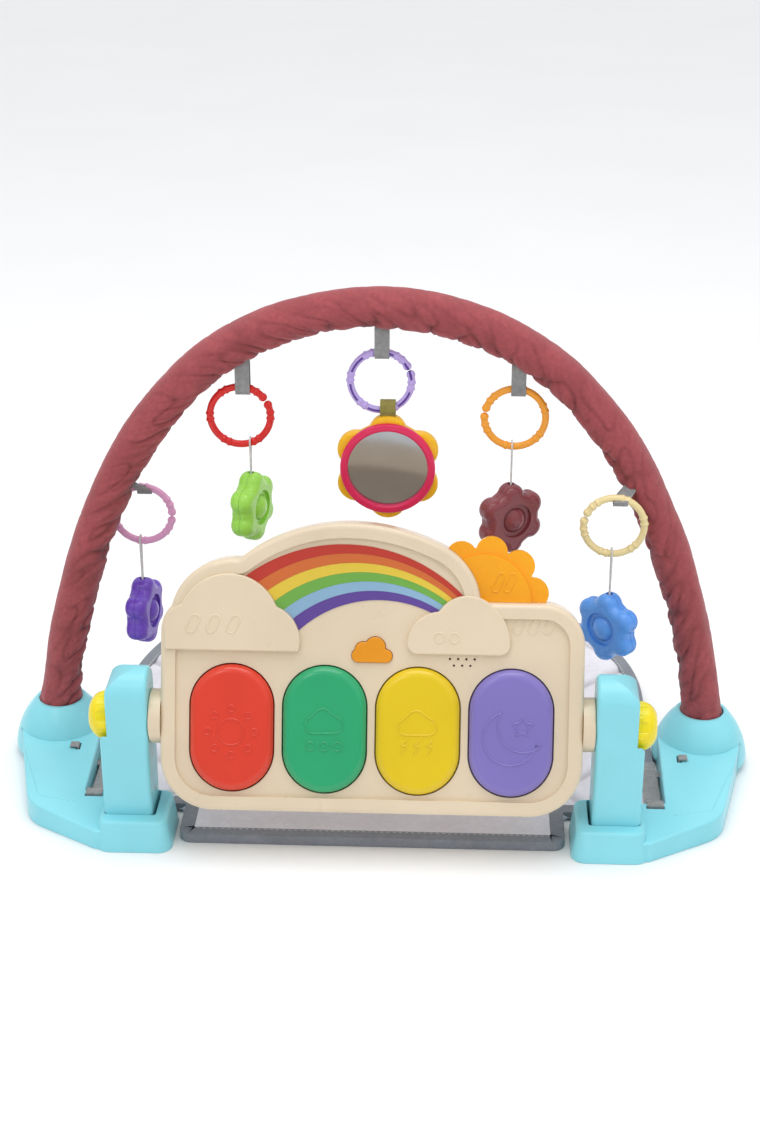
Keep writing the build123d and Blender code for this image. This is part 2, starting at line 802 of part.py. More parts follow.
with BuildPart() as panel_back:
    with BuildSketch(panel_plane()):
        add(panel_outline())
    extrude(amount=panel_back_n)
    fillet(panel_back.faces().sort_by(Axis(pivot, out_of_panel))[0].edges(), radius=5.0)
    with BuildSketch(panel_plane()):
        add(panel_outline(panel_wall))
        with Locations(*boss_places):
            Circle(column_radius, mode=Mode.SUBTRACT)
        with Locations((0, bay_centre_s)):
            Rectangle(2 * bay_half_width + 2 * bay_wall, bay_length + 2 * bay_wall, mode=Mode.SUBTRACT)
    extrude(amount=inside_back_n, mode=Mode.SUBTRACT)
    with BuildSketch(panel_plane()):
        with Locations((0, bay_centre_s)):
            Rectangle(2 * bay_half_width + 2 * bay_wall, bay_length + 2 * bay_wall)
    extrude(amount=bay_floor_n, mode=Mode.SUBTRACT)
    with BuildSketch(panel_plane(bay_floor_n - bay_wall)):
        with Locations((0, bay_centre_s)):
            Rectangle(2 * bay_half_width, bay_length)
    extrude(amount=panel_back_n, mode=Mode.SUBTRACT)
    with BuildSketch(panel_plane(inside_back_n - 0.5)):
        with Locations(*standoffs_main):
            Circle(3)
    extrude(amount=main_board_n - inside_back_n + 0.5)
    with BuildSketch(panel_plane(inside_back_n - 0.5)):
        with Locations(*standoffs_key):
            Circle(3)
    extrude(amount=key_board_n - inside_back_n + 0.5)
    with BuildSketch(panel_plane()):
        with Locations(*boss_places):
            Circle(screw_radius + gap)
    extrude(amount=2 * panel_back_n, mode=Mode.SUBTRACT)
    with BuildSketch(panel_plane(panel_back_n)):
        with Locations(*boss_places):
            Circle(screw_head_radius + gap)
    extrude(amount=8.0, mode=Mode.SUBTRACT)
    add(sun_tab_slots.part, mode=Mode.SUBTRACT)
    add(hub_holes.part, mode=Mode.SUBTRACT)
save(panel_back.part, "panel_back")

panel_screw_seat_n = panel_back_n + 8.0
with BuildPart() as panel_screws:
    for x, s in boss_places:
        seat = Plane(origin=panel_plane(panel_screw_seat_n).from_local_coords((x, s)), z_dir=out_of_panel)
        add(screw(seat, 22))
save(panel_screws.part, "panel_screws")

# ---------------------------------------------------------------- what the panel holds
with BuildPart() as pivot_hubs:
    with BuildSketch(Plane.YZ.offset(half)):
        with Locations((pivot_y, pivot_z)):
            Circle(hub_radius)
    extrude(amount=post_inner_x - gap - half)
    fillet(pivot_hubs.faces().sort_by(Axis.X)[-1].edges(), radius=1.5)
    with BuildSketch(Plane.YZ.offset(half - hub_stub)):
        with Locations((pivot_y, pivot_z)):
            Circle(hub_stub_radius)
    extrude(amount=hub_stub)
    with BuildSketch(Plane.YZ.offset(half)):
        with Locations((pivot_y, pivot_z)):
            Circle(spigot_radius)
    extrude(amount=hub_end_x - half)
    with BuildSketch(Plane.YZ.offset(post_inner_x)):
        with Locations((pivot_y, pivot_z)):
            Circle(bolt_radius + gap)
    extrude(amount=hub_end_x, mode=Mode.SUBTRACT)
    mirror(about=Plane.YZ)
save(pivot_hubs.part, "pivot_hubs")

rainbow_outer = (-26.0, 13.0, 155.5)
rainbow_inner = (6.7, 6.0, 110.7)
bands = 6
decal_thickness = 0.6


with BuildPart() as rainbow_decal:
    for band in range(bands):
        with BuildSketch(panel_plane(face_n)) as stripe:
            for share, mode in ((band / bands, Mode.ADD), ((band + 1) / bands, Mode.SUBTRACT)):
                x, s, radius = (a + (b - a) * share for a, b in zip(rainbow_outer, rainbow_inner))
                with Locations((x, s)):
                    Circle(radius - 0.1 if mode == Mode.ADD else radius, mode=mode)
            with Locations((-20, 67 + 60)):
                Rectangle(220, 120, mode=Mode.INTERSECT)
            add(offset(left_cloud(), 0.2, mode=Mode.PRIVATE), mode=Mode.SUBTRACT)
            add(offset(right_cloud(), 0.2, mode=Mode.PRIVATE), mode=Mode.SUBTRACT)
            add(panel_outline(rim_width + 0.2), mode=Mode.INTERSECT)
        extrude(amount=decal_thickness)
save(rainbow_decal.part, "rainbow_decal")

petals = 10
sun_radius = 61.5
petal_bulge = 15.0
sun_disc = 44.0
with BuildPart() as sun_ornament:
    with BuildSketch(panel_plane(sun_back_n)):
        with Locations(sun_centre):
            Circle(sun_radius - 11)
            with PolarLocations(sun_radius - petal_bulge, petals, start_angle=10):
                Circle(petal_bulge)
        add(panel_outline(-0.15), mode=Mode.SUBTRACT)
        with Locations((sun_centre[0], panel_shoulder_s - 60)):
            Rectangle(200, 119, mode=Mode.SUBTRACT)
    extrude(amount=sun_front_n - sun_back_n)
    with BuildSketch(panel_plane(sun_front_n)):
        with Locations(sun_centre):
            Circle(sun_disc)
        add(panel_outline(-0.15), mode=Mode.SUBTRACT)
        with Locations((sun_centre[0], panel_shoulder_s - 60)):
            Rectangle(200, 119, mode=Mode.SUBTRACT)
    extrude(amount=4)
    with BuildSketch(panel_plane(-tab_thickness / 2)):
        for x in sun_tabs:
            with Locations((x, panel_shoulder_s)):
                Rectangle(10, 10)
    extrude(amount=tab_thickness)
save(sun_ornament.part, "sun_ornament")

with BuildPart() as circuit_board:
    with BuildSketch(panel_plane(main_board_n)):
        with Locations(((main_board[0] + main_board[1]) / 2, (main_board[2] + main_board[3]) / 2)):
            Rectangle(main_board[1] - main_board[0], main_board[3] - main_board[2])
    extrude(amount=board_thickness)
    with BuildSketch(panel_plane(main_board_n + board_thickness)):
        with Locations((-35, 70), (30, 74)):
            Rectangle(12, 12)
        with Locations((0, button_s)):
            Rectangle(6, 6)
    extrude(amount=1.7)
    with BuildSketch(panel_plane(key_board_n)):
        with Locations((0, key_board_s)):
            Rectangle(*key_board_size)
    extrude(amount=board_thickness)
save(circuit_board.part, "circuit_board")

rod_to_plunger = rod_s - key_board_s
plunger_drop = rod_to_plunger * sin(radians(key_travel)) + 0.1
dome_top_n = key_skirt_n - plunger_drop - gap
with BuildPart() as key_switch_domes:
    for x in key_xs:
        with BuildSketch(panel_plane(key_board_n + board_thickness)):
            with Locations((x, key_board_s)):
                Circle(6)
        extrude(amount=dome_top_n - key_board_n - board_thickness, taper=18)
save(key_switch_domes.part, "key_switch_domes")

with BuildPart() as speaker:
    with BuildSketch(panel_plane(inside_front_n)):
        with Locations((speaker_x, speaker_s)):
            Circle(speaker_radius)
    extrude(amount=-3)
    with BuildSketch(panel_plane(inside_front_n - 3)):
        with Locations((speaker_x, speaker_s)):
            Circle(speaker_radius - 2)
    extrude(amount=-5, taper=25)
    with BuildSketch(panel_plane(inside_front_n)):
        with Locations((speaker_x, speaker_s)):
            Circle(speaker_radius - 2.5)
    extrude(amount=-2, mode=Mode.SUBTRACT)
save(speaker.part, "speaker")

door_gap = 0.3
with BuildPart() as battery_door:
    with BuildSketch(panel_plane(panel_back_n)):
        with Locations((0, bay_centre_s)):
            Rectangle(2 * bay_half_width - 2 * door_gap, bay_length - 2 * door_gap)
    extrude(amount=2.4)
save(battery_door.part, "battery_door")

cell_radius = 7.2
cell_length = 50.5
cell_pitch = 15.4
with BuildPart() as batteries:
    for i in (-1, 0, 1):
        centre = pivot + up_panel * (bay_centre_s + i * cell_pitch) + out_of_panel * (panel_back_n + 10)
        with BuildSketch(Plane(origin=centre, z_dir=(1, 0, 0))):
            Circle(cell_radius)
        extrude(amount=cell_length / 2 - 1, both=True)
        with BuildSketch(Plane(origin=centre, z_dir=(1, 0, 0))):
            Circle(2.7)
        extrude(amount=cell_length / 2)
save(batteries.part, "batteries")

contact = 0.5
with BuildPart() as battery_contacts:
    for side in (-1, 1):
        for i in (-1, 0, 1):
            with BuildSketch(panel_plane(panel_back_n + 4)):
                with Locations((side * (bay_half_width - contact / 2), bay_centre_s + i * cell_pitch)):
                    Rectangle(contact, 10)
            extrude(amount=12)
save(battery_contacts.part, "battery_contacts")

with BuildPart() as key_hinge_rods:
    for x in key_xs:
        middle = pivot + Vector(x, 0, 0) + up_panel * rod_s + out_of_panel * rod_n
        with BuildSketch(Plane(origin=middle, z_dir=(1, 0, 0))):
            Circle(hinge_rod_radius)
        extrude(amount=rod_half_length, both=True)
save(key_hinge_rods.part, "key_hinge_rods")

# ---------------------------------------------------------------- keys and the cloud button
key_wall = 2.6
key_edge = 8.0
lip = 2.4
ear_x = 14.0
ear_width = 4.0
ear_radius = 3.3


def make_key(x):
    with BuildPart() as key:
        with BuildSketch(panel_plane(key_skirt_n)):
            with Locations((x, key_centre_s)):
                SlotOverall(key_length, key_width, rotation=90)
        extrude(amount=key_crown_n - key_skirt_n)
        fillet(key.faces().sort_by(Axis(pivot, out_of_panel))[-1].edges(), radius=key_edge)
        with BuildSketch(panel_plane(key_skirt_n)):
            with Locations((x, key_centre_s)):
                SlotOverall(key_length + 2 * lip, key_width + 2 * lip, rotation=90)
        extrude(amount=2.5)
        with BuildSketch(panel_plane(key_skirt_n)):
            with Locations((x, key_centre_s)):
                SlotOverall(key_length - 2 * key_wall, key_width - 2 * key_wall, rotation=90)
            with Locations((x, key_board_s)):
                Circle(4, mode=Mode.SUBTRACT)
        extrude(amount=key_crown_n - key_skirt_n - 5, mode=Mode.SUBTRACT)
        for side in (-1, 1):
            middle = pivot + Vector(x + side * ear_x, 0, 0) + up_panel * rod_s + out_of_panel * rod_n
            ear = Plane(origin=middle, x_dir=up_panel, z_dir=(1, 0, 0))
            with BuildSketch(ear):
                Circle(ear_radius)
                with Locations((-4.5, 0)):
                    Rectangle(9, 2 * ear_radius)
            extrude(amount=ear_width / 2, both=True)
            with BuildSketch(ear):
                Circle(hinge_rod_radius + running)
            extrude(amount=ear_width, both=True, mode=Mode.SUBTRACT)
    return key.part


for colour, x in zip(("red", "green", "yellow", "purple"), key_xs):
    save(make_key(x), f"key_{colour}")

button_flange_n = 12.3
stem_n = main_board_n + board_thickness + 1.7 + gap + button_travel
with BuildPart() as cloud_button:
    with BuildSketch(panel_plane(button_flange_n)):
        add(button_outline())
    extrude(amount=face_n + 3.0 - button_flange_n)
    fillet(cloud_button.faces().sort_by(Axis(pivot, out_of_panel))[-1].edges(), radius=1.2)
    with BuildSketch(panel_plane(button_flange_n)):
        add(button_outline(1.5))
    extrude(amount=2)
    with BuildSketch(panel_plane(button_flange_n)):
        with Locations((0, button_s)):
            Circle(3)
    extrude(amount=stem_n - button_flange_n)
save(cloud_button.part, "cloud_button")

# ---------------------------------------------------------------- the hanging toys
# Each toy hangs from a webbing loop on the bow: where its ring is, how far the loop and the
# string stand to the side of the ring's middle, which way the ring's snap faces (degrees),
# how far the ring stands in front of or behind the bow, and the toy's own middle and turn.
loop_slack = 1.6
beside_bow = sleeve_radius + ring_bar + loop_slack + webbing
string_slack = 1.0
snap_bulb = 4.3
snap_half_angle = 9.0
hole_radius = 3.4
hole_depth = 4.0
strand = 1.6                    # half the spacing of a string's two ends
hangings = {
    "pink": dict(x=-240.0, z=257.5, y=beside_bow, loop=3.0, string=-4.0, snap=-4.0),
    "red": dict(x=-135.2, z=374.6, y=0.0, loop=3.4, string=9.0, snap=31.7),
    "lilac": dict(x=1.7, z=412.2, y=0.0, loop=1.0, string=6.8, snap=22.7),
    "orange": dict(x=131.3, z=376.7, y=0.0, loop=2.7, string=-2.0, snap=170.0),
    "cream": dict(x=230.0, z=275.7, y=-beside_bow, loop=5.0, string=-0.8, snap=161.5),
}
rattles = {
    "purple": dict(ring="pink", z=149.7, turn=80.0),
    "green": dict(ring="red", z=279.4, turn=72.0),
    "brown": dict(ring="orange", z=271.8, turn=32.0),
    "blue": dict(ring="cream", z=166.8, turn=-44.0),
}
mirror_z = 324.6
mirror_x = 8.5


def bar_z(hanging, offset, side):
    """The height of the ring's bar at an offset from its middle, above (1) or below (-1)."""
    return hanging["z"] + side * sqrt(ring_radius**2 - offset**2)


def make_ring(hanging):
    plane = Plane(origin=(hanging["x"], bow_y + hanging["y"], hanging["z"]), x_dir=(1, 0, 0), z_dir=(0, -1, 0))
    with BuildPart() as ring:
        with BuildLine(plane) as bar:
            CenterArc(
                (0, 0), ring_radius, hanging["snap"] + snap_half_angle, 360 - 2 * snap_half_angle
            )
        with BuildSketch(Plane(origin=bar.line @ 0, z_dir=bar.line % 0)):
            Circle(ring_bar)
        sweep(path=bar.line)
        for end in (bar.line @ 0, bar.line @ 1):
            with Locations(end):
                Sphere(snap_bulb)
    return ring.part


def bow_z(x, inside):
    """The height at x of a line that runs inside the bow's centreline, crown or shoulder."""
    turn = radians(crown_angle)
    radius = crown_radius - inside
    if abs(x) <= radius * sin(turn):
        return bow_height - crown_radius + sqrt(radius**2 - x**2)
    middle_x = (crown_radius - shoulder_radius) * sin(turn)
    middle_z = bow_height - crown_radius + (crown_radius - shoulder_radius) * cos(turn)
    return middle_z + sqrt((shoulder_radius - inside) ** 2 - (abs(x) - middle_x) ** 2)


bow_solid = bow_sweep(0.0, bow_spring_z, sleeve_radius, 0)
with BuildPart() as toy_loops:
    for hanging in hangings.values():
        low = bar_z(hanging, hanging["loop"] + loop_width / 2, 1)
        x = hanging["x"] + hanging["loop"]
        high = bow_z(x, 10 if hanging["y"] else sleeve_radius)
        inner = 2 * (ring_bar + loop_slack)
        outer = inner + 2 * webbing
        middle = (bow_y + hanging["y"], (low + high) / 2)
        with BuildSketch(Plane.YZ.offset(x)):
            with Locations(middle):
                SlotCenterToCenter(high - low, outer, rotation=90)
                SlotCenterToCenter(high - low, inner, rotation=90, mode=Mode.SUBTRACT)
        extrude(amount=loop_width / 2, both=True)
    for half_bow in (bow_solid, mirrored(bow_solid)):
        add(half_bow, mode=Mode.SUBTRACT)
save(toy_loops.part, "toy_loops")

for name, hanging in hangings.items():
    save(make_ring(hanging), f"ring_{name}")


def place(name):
    """Where a rattle hangs: straight below its string."""
    rattle = rattles[name]
    hanging = hangings[rattle["ring"]]
    x = hanging["x"] + hanging["string"]
    return Location((x, bow_y + hanging["y"], rattle["z"]), (0, 0, rattle["turn"]))


petal_count = 6
petal_radius = 12.0
valley_radius = 5.0             # rounds the valleys between petals
dish_depth = 3.0
dish_radius = 17.5
shell_gap = 0.3
front = Plane(origin=(0, 0, 0), x_dir=(1, 0, 0), z_dir=(0, -1, 0))

with BuildPart() as rattle_shell:
    with BuildSketch(front.offset(shell_gap / 2)) as flower:
        Circle(rattle_radius - 6.5)
        with PolarLocations(rattle_radius - petal_radius, petal_count, start_angle=90):
            Circle(petal_radius)
        offset(amount=valley_radius)
        offset(amount=-valley_radius)
    extrude(amount=(rattle_thickness - shell_gap) / 2)
    fillet(rattle_shell.faces().sort_by(Axis.Y)[0].edges(), radius=8.5)
    with BuildSketch(front.offset(rattle_thickness / 2)):
        Circle(dish_radius)
    extrude(amount=-dish_depth, mode=Mode.SUBTRACT)
    Sphere(ball_radius + gap, mode=Mode.SUBTRACT)
    with BuildSketch(Plane.XY.offset(rattle_radius - hole_depth)):
        Circle(hole_radius)
    extrude(amount=hole_depth + 1, mode=Mode.SUBTRACT)

with BuildPart() as rattle_body:
    add(rattle_shell.part)
    mirror(about=Plane.XZ)

with BuildPart() as rattle_ball:
    Sphere(ball_radius)


def make_string(name):
    """A doubled string: up from the toy, round the ring's bar and down again."""
    rattle = rattles[name]
    hanging = hangings[rattle["ring"]]
    middle = bow_y + hanging["y"]
    reach = ring_bar + string_slack + string_diameter / 2
    top = bar_z(hanging, hanging["string"], -1) + reach
    foot = rattle["z"] + rattle_radius - hole_depth
    points = [
        (middle - strand, foot),
        (middle - reach, top),
        (middle + reach, top),
        (middle + strand, foot),
    ]
    turn = Vector(reach - strand, top - foot).get_angle(Vector(-1, 0))
    radius = 0.45 * 2 * reach / tan(radians(turn / 2))
    print(name, "string: turn", round(turn, 1), "radius", round(radius, 2))
    with BuildPart() as string:
        with BuildLine(Plane.YZ.offset(hanging["x"] + hanging["string"])) as route:
            FilletPolyline(*points, radius=radius)
        with BuildSketch(Plane(origin=route.line @ 0, z_dir=route.line % 0)):
            Circle(string_diameter / 2)
        sweep(path=route.line)
        split(bisect_by=Plane.XY.offset(foot), keep=Keep.TOP)
    length = sum(edge.length for edge in route.edges())
    share = string.part.volume / (pi * (string_diameter / 2) ** 2 * length)
    print(name, "string: length", round(length, 1), "volume over section times length", round(share, 3))
    return string.part


for name in rattles:
    save(rattle_body.part.moved(place(name)), f"rattle_{name}_body")
    save(rattle_ball.part.moved(place(name)), f"ball_{name}")
    save(make_string(name), f"string_{name}")

# ---------------------------------------------------------------- the mirror
mirror_radius = 54.0
mirror_petal = 19.0
mirror_thickness = 12.0
disc_radius = 41.0
disc_thickness = 2.0
bezel_outer = 46.5
bezel_inner = 39.0
bezel_height = 5.0
disc_recess = 2.5
tab_width = 15.0
mirror_place = Location((mirror_x, bow_y, mirror_z))
tab_x = hangings["lilac"]["x"] + hangings["lilac"]["string"]
tab_head_z = bar_z(hangings["lilac"], hangings["lilac"]["string"] + tab_width / 2, -1)
tab_neck_z = bar_z(hangings["lilac"], hangings["lilac"]["string"] - tab_width / 2, -1)

with BuildPart() as mirror_flower:
    with BuildSketch(front.offset(-mirror_thickness / 2)) as flower:
        Circle(mirror_radius - 9)
        with PolarLocations(mirror_radius - mirror_petal, petal_count, start_angle=30):
            Circle(mirror_petal)
        offset(amount=valley_radius)
        offset(amount=-valley_radius)
    extrude(amount=mirror_thickness)
    fillet(mirror_flower.faces().filter_by(Axis.Y).edges(), radius=3.5)
    with BuildSketch(front.offset(mirror_thickness / 2 - disc_recess)):
        Circle(disc_radius + 0.2)
    extrude(amount=20, mode=Mode.SUBTRACT)
    with BuildSketch(front.offset(mirror_thickness / 2 - disc_recess + disc_thickness)):
        Circle(bezel_outer - 2 + 0.1)
    extrude(amount=20, mode=Mode.SUBTRACT)
save(mirror_flower.part.moved(mirror_place), "mirror_flower")

with BuildPart() as mirror_disc:
    with BuildSketch(front.offset(mirror_thickness / 2 - disc_recess)):
        Circle(disc_radius)
    extrude(amount=disc_thickness)
save(mirror_disc.part.moved(mirror_place), "mirror_disc")

with BuildPart() as mirror_bezel:
    with BuildSketch(front.offset(mirror_thickness / 2 - disc_recess + disc_thickness)):
        Circle(bezel_outer - 2)
        Circle(bezel_inner, mode=Mode.SUBTRACT)
    extrude(amount=disc_recess - disc_thickness)
    with BuildSketch(front.offset(mirror_thickness / 2)):
        Circle(bezel_outer)
        Circle(bezel_inner, mode=Mode.SUBTRACT)
    extrude(amount=bezel_height)
    fillet(mirror_bezel.faces().sort_by(Axis.Y)[0].edges(), radius=2.4)
save(mirror_bezel.part.moved(mirror_place), "mirror_bezel")

with BuildPart() as mirror_tab:
    tab_low = mirror_z + mirror_radius - 16
    inner = 2 * (ring_bar + loop_slack + 0.6)
    with BuildSketch(Plane.YZ.offset(tab_x)):
        with BuildLine():
            head = CenterArc((bow_y, tab_head_z), inner / 2 + webbing / 2, 0, 180)
            FilletPolyline(
                head @ 1,
                (bow_y - inner / 2 - webbing / 2, tab_neck_z),
                (bow_y - webbing / 2, tab_neck_z - 9),
                (bow_y - webbing / 2, tab_low),
                radius=2.0,
            )
            FilletPolyline(
                head @ 0,
                (bow_y + inner / 2 + webbing / 2, tab_neck_z),
                (bow_y + webbing / 2, tab_neck_z - 9),
                (bow_y + webbing / 2, tab_low),
                radius=2.0,
            )
        trace(line_width=webbing)
    extrude(amount=tab_width / 2, both=True)
    add(mirror_flower.part.moved(mirror_place), mode=Mode.SUBTRACT)
save(mirror_tab.part, "mirror_tab")
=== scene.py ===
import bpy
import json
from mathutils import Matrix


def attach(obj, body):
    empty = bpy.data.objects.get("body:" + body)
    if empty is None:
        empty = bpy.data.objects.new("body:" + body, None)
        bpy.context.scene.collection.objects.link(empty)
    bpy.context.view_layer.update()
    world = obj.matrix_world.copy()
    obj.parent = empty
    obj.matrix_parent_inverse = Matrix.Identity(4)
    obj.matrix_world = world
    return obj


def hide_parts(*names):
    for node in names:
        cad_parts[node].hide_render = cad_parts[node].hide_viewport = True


bl_info = {
    "name": "Activity play gym",
    "version": (1, 0, 0),
    "blender": (4, 5, 0),
    "location": "3D View > Sidebar > Play gym",
    "description": "Gives a play gym its moulded plastic, padded cloth, webbing, cords and rings",
    "category": "Object",
}

import json
from math import atan2, ceil, cos, degrees, exp, hypot, pi, radians, sin, sqrt

import bmesh
import bpy
from bpy.props import FloatProperty, FloatVectorProperty, IntProperty, PointerProperty
from mathutils import Matrix, Vector, noise
from mathutils.bvhtree import BVHTree

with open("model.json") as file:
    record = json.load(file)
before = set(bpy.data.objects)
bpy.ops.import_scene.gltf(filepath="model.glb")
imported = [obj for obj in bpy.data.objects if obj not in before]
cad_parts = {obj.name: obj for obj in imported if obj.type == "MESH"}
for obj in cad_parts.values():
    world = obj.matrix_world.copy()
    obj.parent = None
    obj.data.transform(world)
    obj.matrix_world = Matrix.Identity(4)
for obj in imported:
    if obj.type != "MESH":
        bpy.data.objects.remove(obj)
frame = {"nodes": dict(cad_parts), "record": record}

MM = 0.001

# The bow: its plane, the height of its crown's middle line, and its arcs, each with the turn
# from level at which it ends (degrees) and its radius.
BOW_Y = -0.102
BOW_CROWN = 0.4855
BOW_ARCS = ((51.3, 0.268), (66.0, 0.440), (83.0, 0.7995), (87.6, 0.150))

# The panel leans back about its hubs. Its own axes are x, up the panel, and out of the panel.
LEAN = radians(20)
PANEL = Matrix(
    (
        (1, 0, 0, 0),
        (0, sin(LEAN), -cos(LEAN), -0.260),
        (0, cos(LEAN), sin(LEAN), 0.128),
        (0, 0, 0, 1),
    )
)
KEY_PITCH = 0.0876
KEY_MIDDLE = -0.0067

# The link rings: the middle of each, how far its loop stands to the side, where its snap faces.
RING_RADIUS = 0.0295
RING_BAR = 0.0035
SNAP_BULB = 0.0043
SNAP_HALF = radians(9)
BESIDE = 0.0259
RINGS = {
    "pink": (-0.2400, BESIDE, 0.2575, 0.0030, -4.0),
    "red": (-0.1352, 0.0, 0.3746, 0.0034, 31.7),
    "lilac": (0.0017, 0.0, 0.4122, 0.0010, 22.7),
    "orange": (0.1313, 0.0, 0.3767, 0.0027, 170.0),
    "cream": (0.2300, -BESIDE, 0.2757, 0.0050, 161.5),
}

STRING_DIAMETER = 0.0018

# The strings: x, length, then the points' y and z, up from the toy, round the ring and down.
STRINGS = {
    "purple": (
        -0.2440,
        0.1104,
        (
            (-0.0777, 0.1817),
            (-0.0807, 0.2229),
            (-0.0815, 0.23367),
            (-0.0707, 0.23367),
            (-0.0715, 0.2229),
            (-0.0745, 0.1817),
        ),
    ),
    "green": (
        -0.1262,
        0.0875,
        (
            (-0.1036, 0.3114),
            (-0.1064, 0.3411),
            (-0.1074, 0.35191),
            (-0.0966, 0.35191),
            (-0.0976, 0.3411),
            (-0.1004, 0.3114),
        ),
    ),
    "brown": (
        0.1293,
        0.1042,
        (
            (-0.1036, 0.3038),
            (-0.1066, 0.3419),
            (-0.1074, 0.35267),
            (-0.0966, 0.35267),
            (-0.0974, 0.3419),
            (-0.1004, 0.3038),
        ),
    ),
    "blue": (
        0.2292,
        0.1121,
        (
            (-0.1295, 0.1988),
            (-0.1325, 0.2408),
            (-0.1333, 0.25161),
            (-0.1225, 0.25161),
            (-0.1233, 0.2408),
            (-0.1263, 0.1988),
        ),
    ),
}


def linear(red, green, blue):
    """A colour given as 0 to 255 on a screen, in the linear values that shaders take."""
    return tuple(
        c / 3294.6 if c <= 10 else ((c / 255 + 0.055) / 1.055) ** 2.4 for c in (red, green, blue)
    )


def colour(name, about, red, green, blue):
    return FloatVectorProperty(
        name=name,
        description=about,
        subtype="COLOR",
        size=3,
        min=0,
        max=1,
        default=linear(red, green, blue),
    )


def length(name, about, millimetres):
    return FloatProperty(
        name=name,
        description=about,
        subtype="DISTANCE",
        unit="LENGTH",
        precision=4,
        min=0,
        default=millimetres * MM,
    )


class GymSizes(bpy.types.PropertyGroup):
    """Sizes of the soft pieces and of the small raised lines."""

    sleeve_fold: length("Sleeve folds", "Depth of the gathers on the inner side of the bow", 3.6)
    sleeve_wave: length("Sleeve unevenness", "How much the stuffed sleeve swells and narrows", 1.5)
    binding_width: length("Binding", "Width of the tape sewn round the mat's edge", 14)
    quilt_pitch: length("Quilting", "Distance between the mat's sewn lines", 130)
    quilt_depth: length("Quilting depth", "How far a sewn line draws the mat in", 3.2)
    webbing_thickness: length("Webbing", "Thickness of the woven tape", 1.2)
    mark_radius: length("Raised lines", "Half the width of the lines moulded on keys and shells", 1.0)
    ring_bump: length("Ring bumps", "How far the bumps stand out of a link ring's bar", 0.9)
    bump_pairs: IntProperty(
        name="Bump pairs", description="Pairs of bumps round a link ring", default=6, min=1, max=12
    )


class GymColours(bpy.types.PropertyGroup):
    """Colours of the plastics and cloths."""

    aqua: colour("Bases and posts", "Pale blue plastic of the bases and posts", 142, 222, 234)
    knob: colour("Knobs", "Yellow plastic of the clamp knobs", 244, 222, 22)
    cream: colour("Panel", "Cream plastic of the piano panel", 226, 208, 180)
    key_red: colour("Red key", "The first key", 222, 62, 40)
    key_green: colour("Green key", "The second key", 40, 166, 110)
    key_yellow: colour("Yellow key", "The third key", 226, 194, 18)
    key_purple: colour("Purple key", "The fourth key", 130, 118, 190)
    button: colour("Cloud button", "Orange button above the keys", 230, 148, 20)
    sun: colour("Sun", "Amber plastic of the sun", 246, 168, 20)
    sleeve: colour("Sleeve", "Cloth of the padded bow", 172, 84, 88)
    mat: colour("Mat", "Cloth of the mat's face", 232, 230, 238)
    binding: colour("Binding", "Tape round the mat's edge", 138, 142, 150)
    webbing: colour("Webbing", "Woven tape of the loops and straps", 158, 158, 158)
    ribbon: colour("Ribbon", "Ribbon that carries the mirror", 150, 140, 74)
    string: colour("String", "Cord of the hanging toys", 238, 238, 236)
    ring_pink: colour("Pink ring", "Link ring at the far left", 226, 162, 204)
    ring_red: colour("Red ring", "Link ring at the left", 222, 36, 30)
    ring_lilac: colour("Lilac ring", "Link ring at the crown", 196, 174, 236)
    # Dark violet painted on the lilac ring's front as the shade of its grooves; no groove is cut.
    ring_groove_shade: colour("Ring groove", "Violet grooves of the lilac ring", 92, 60, 152)
    ring_orange: colour("Orange ring", "Link ring at the right", 252, 168, 52)
    ring_cream: colour("Cream ring", "Link ring at the far right", 242, 222, 164)
    rattle_purple: colour("Purple rattle", "Rattle at the far left", 112, 74, 192)
    rattle_green: colour("Green rattle", "Rattle at the left", 160, 224, 88)
    rattle_brown: colour("Brown rattle", "Rattle at the right", 138, 68, 74)
    rattle_blue: colour("Blue rattle", "Rattle at the far right", 94, 158, 240)
    flower: colour("Mirror flower", "Yellow plastic round the mirror", 255, 194, 22)
    bezel: colour("Mirror rim", "Pink rim of the mirror", 228, 36, 92)


def sizes():
    return bpy.context.scene.gym_sizes


def colours():
    return bpy.context.scene.gym_colours


# ------------------------------------------------------------------------------- finishes


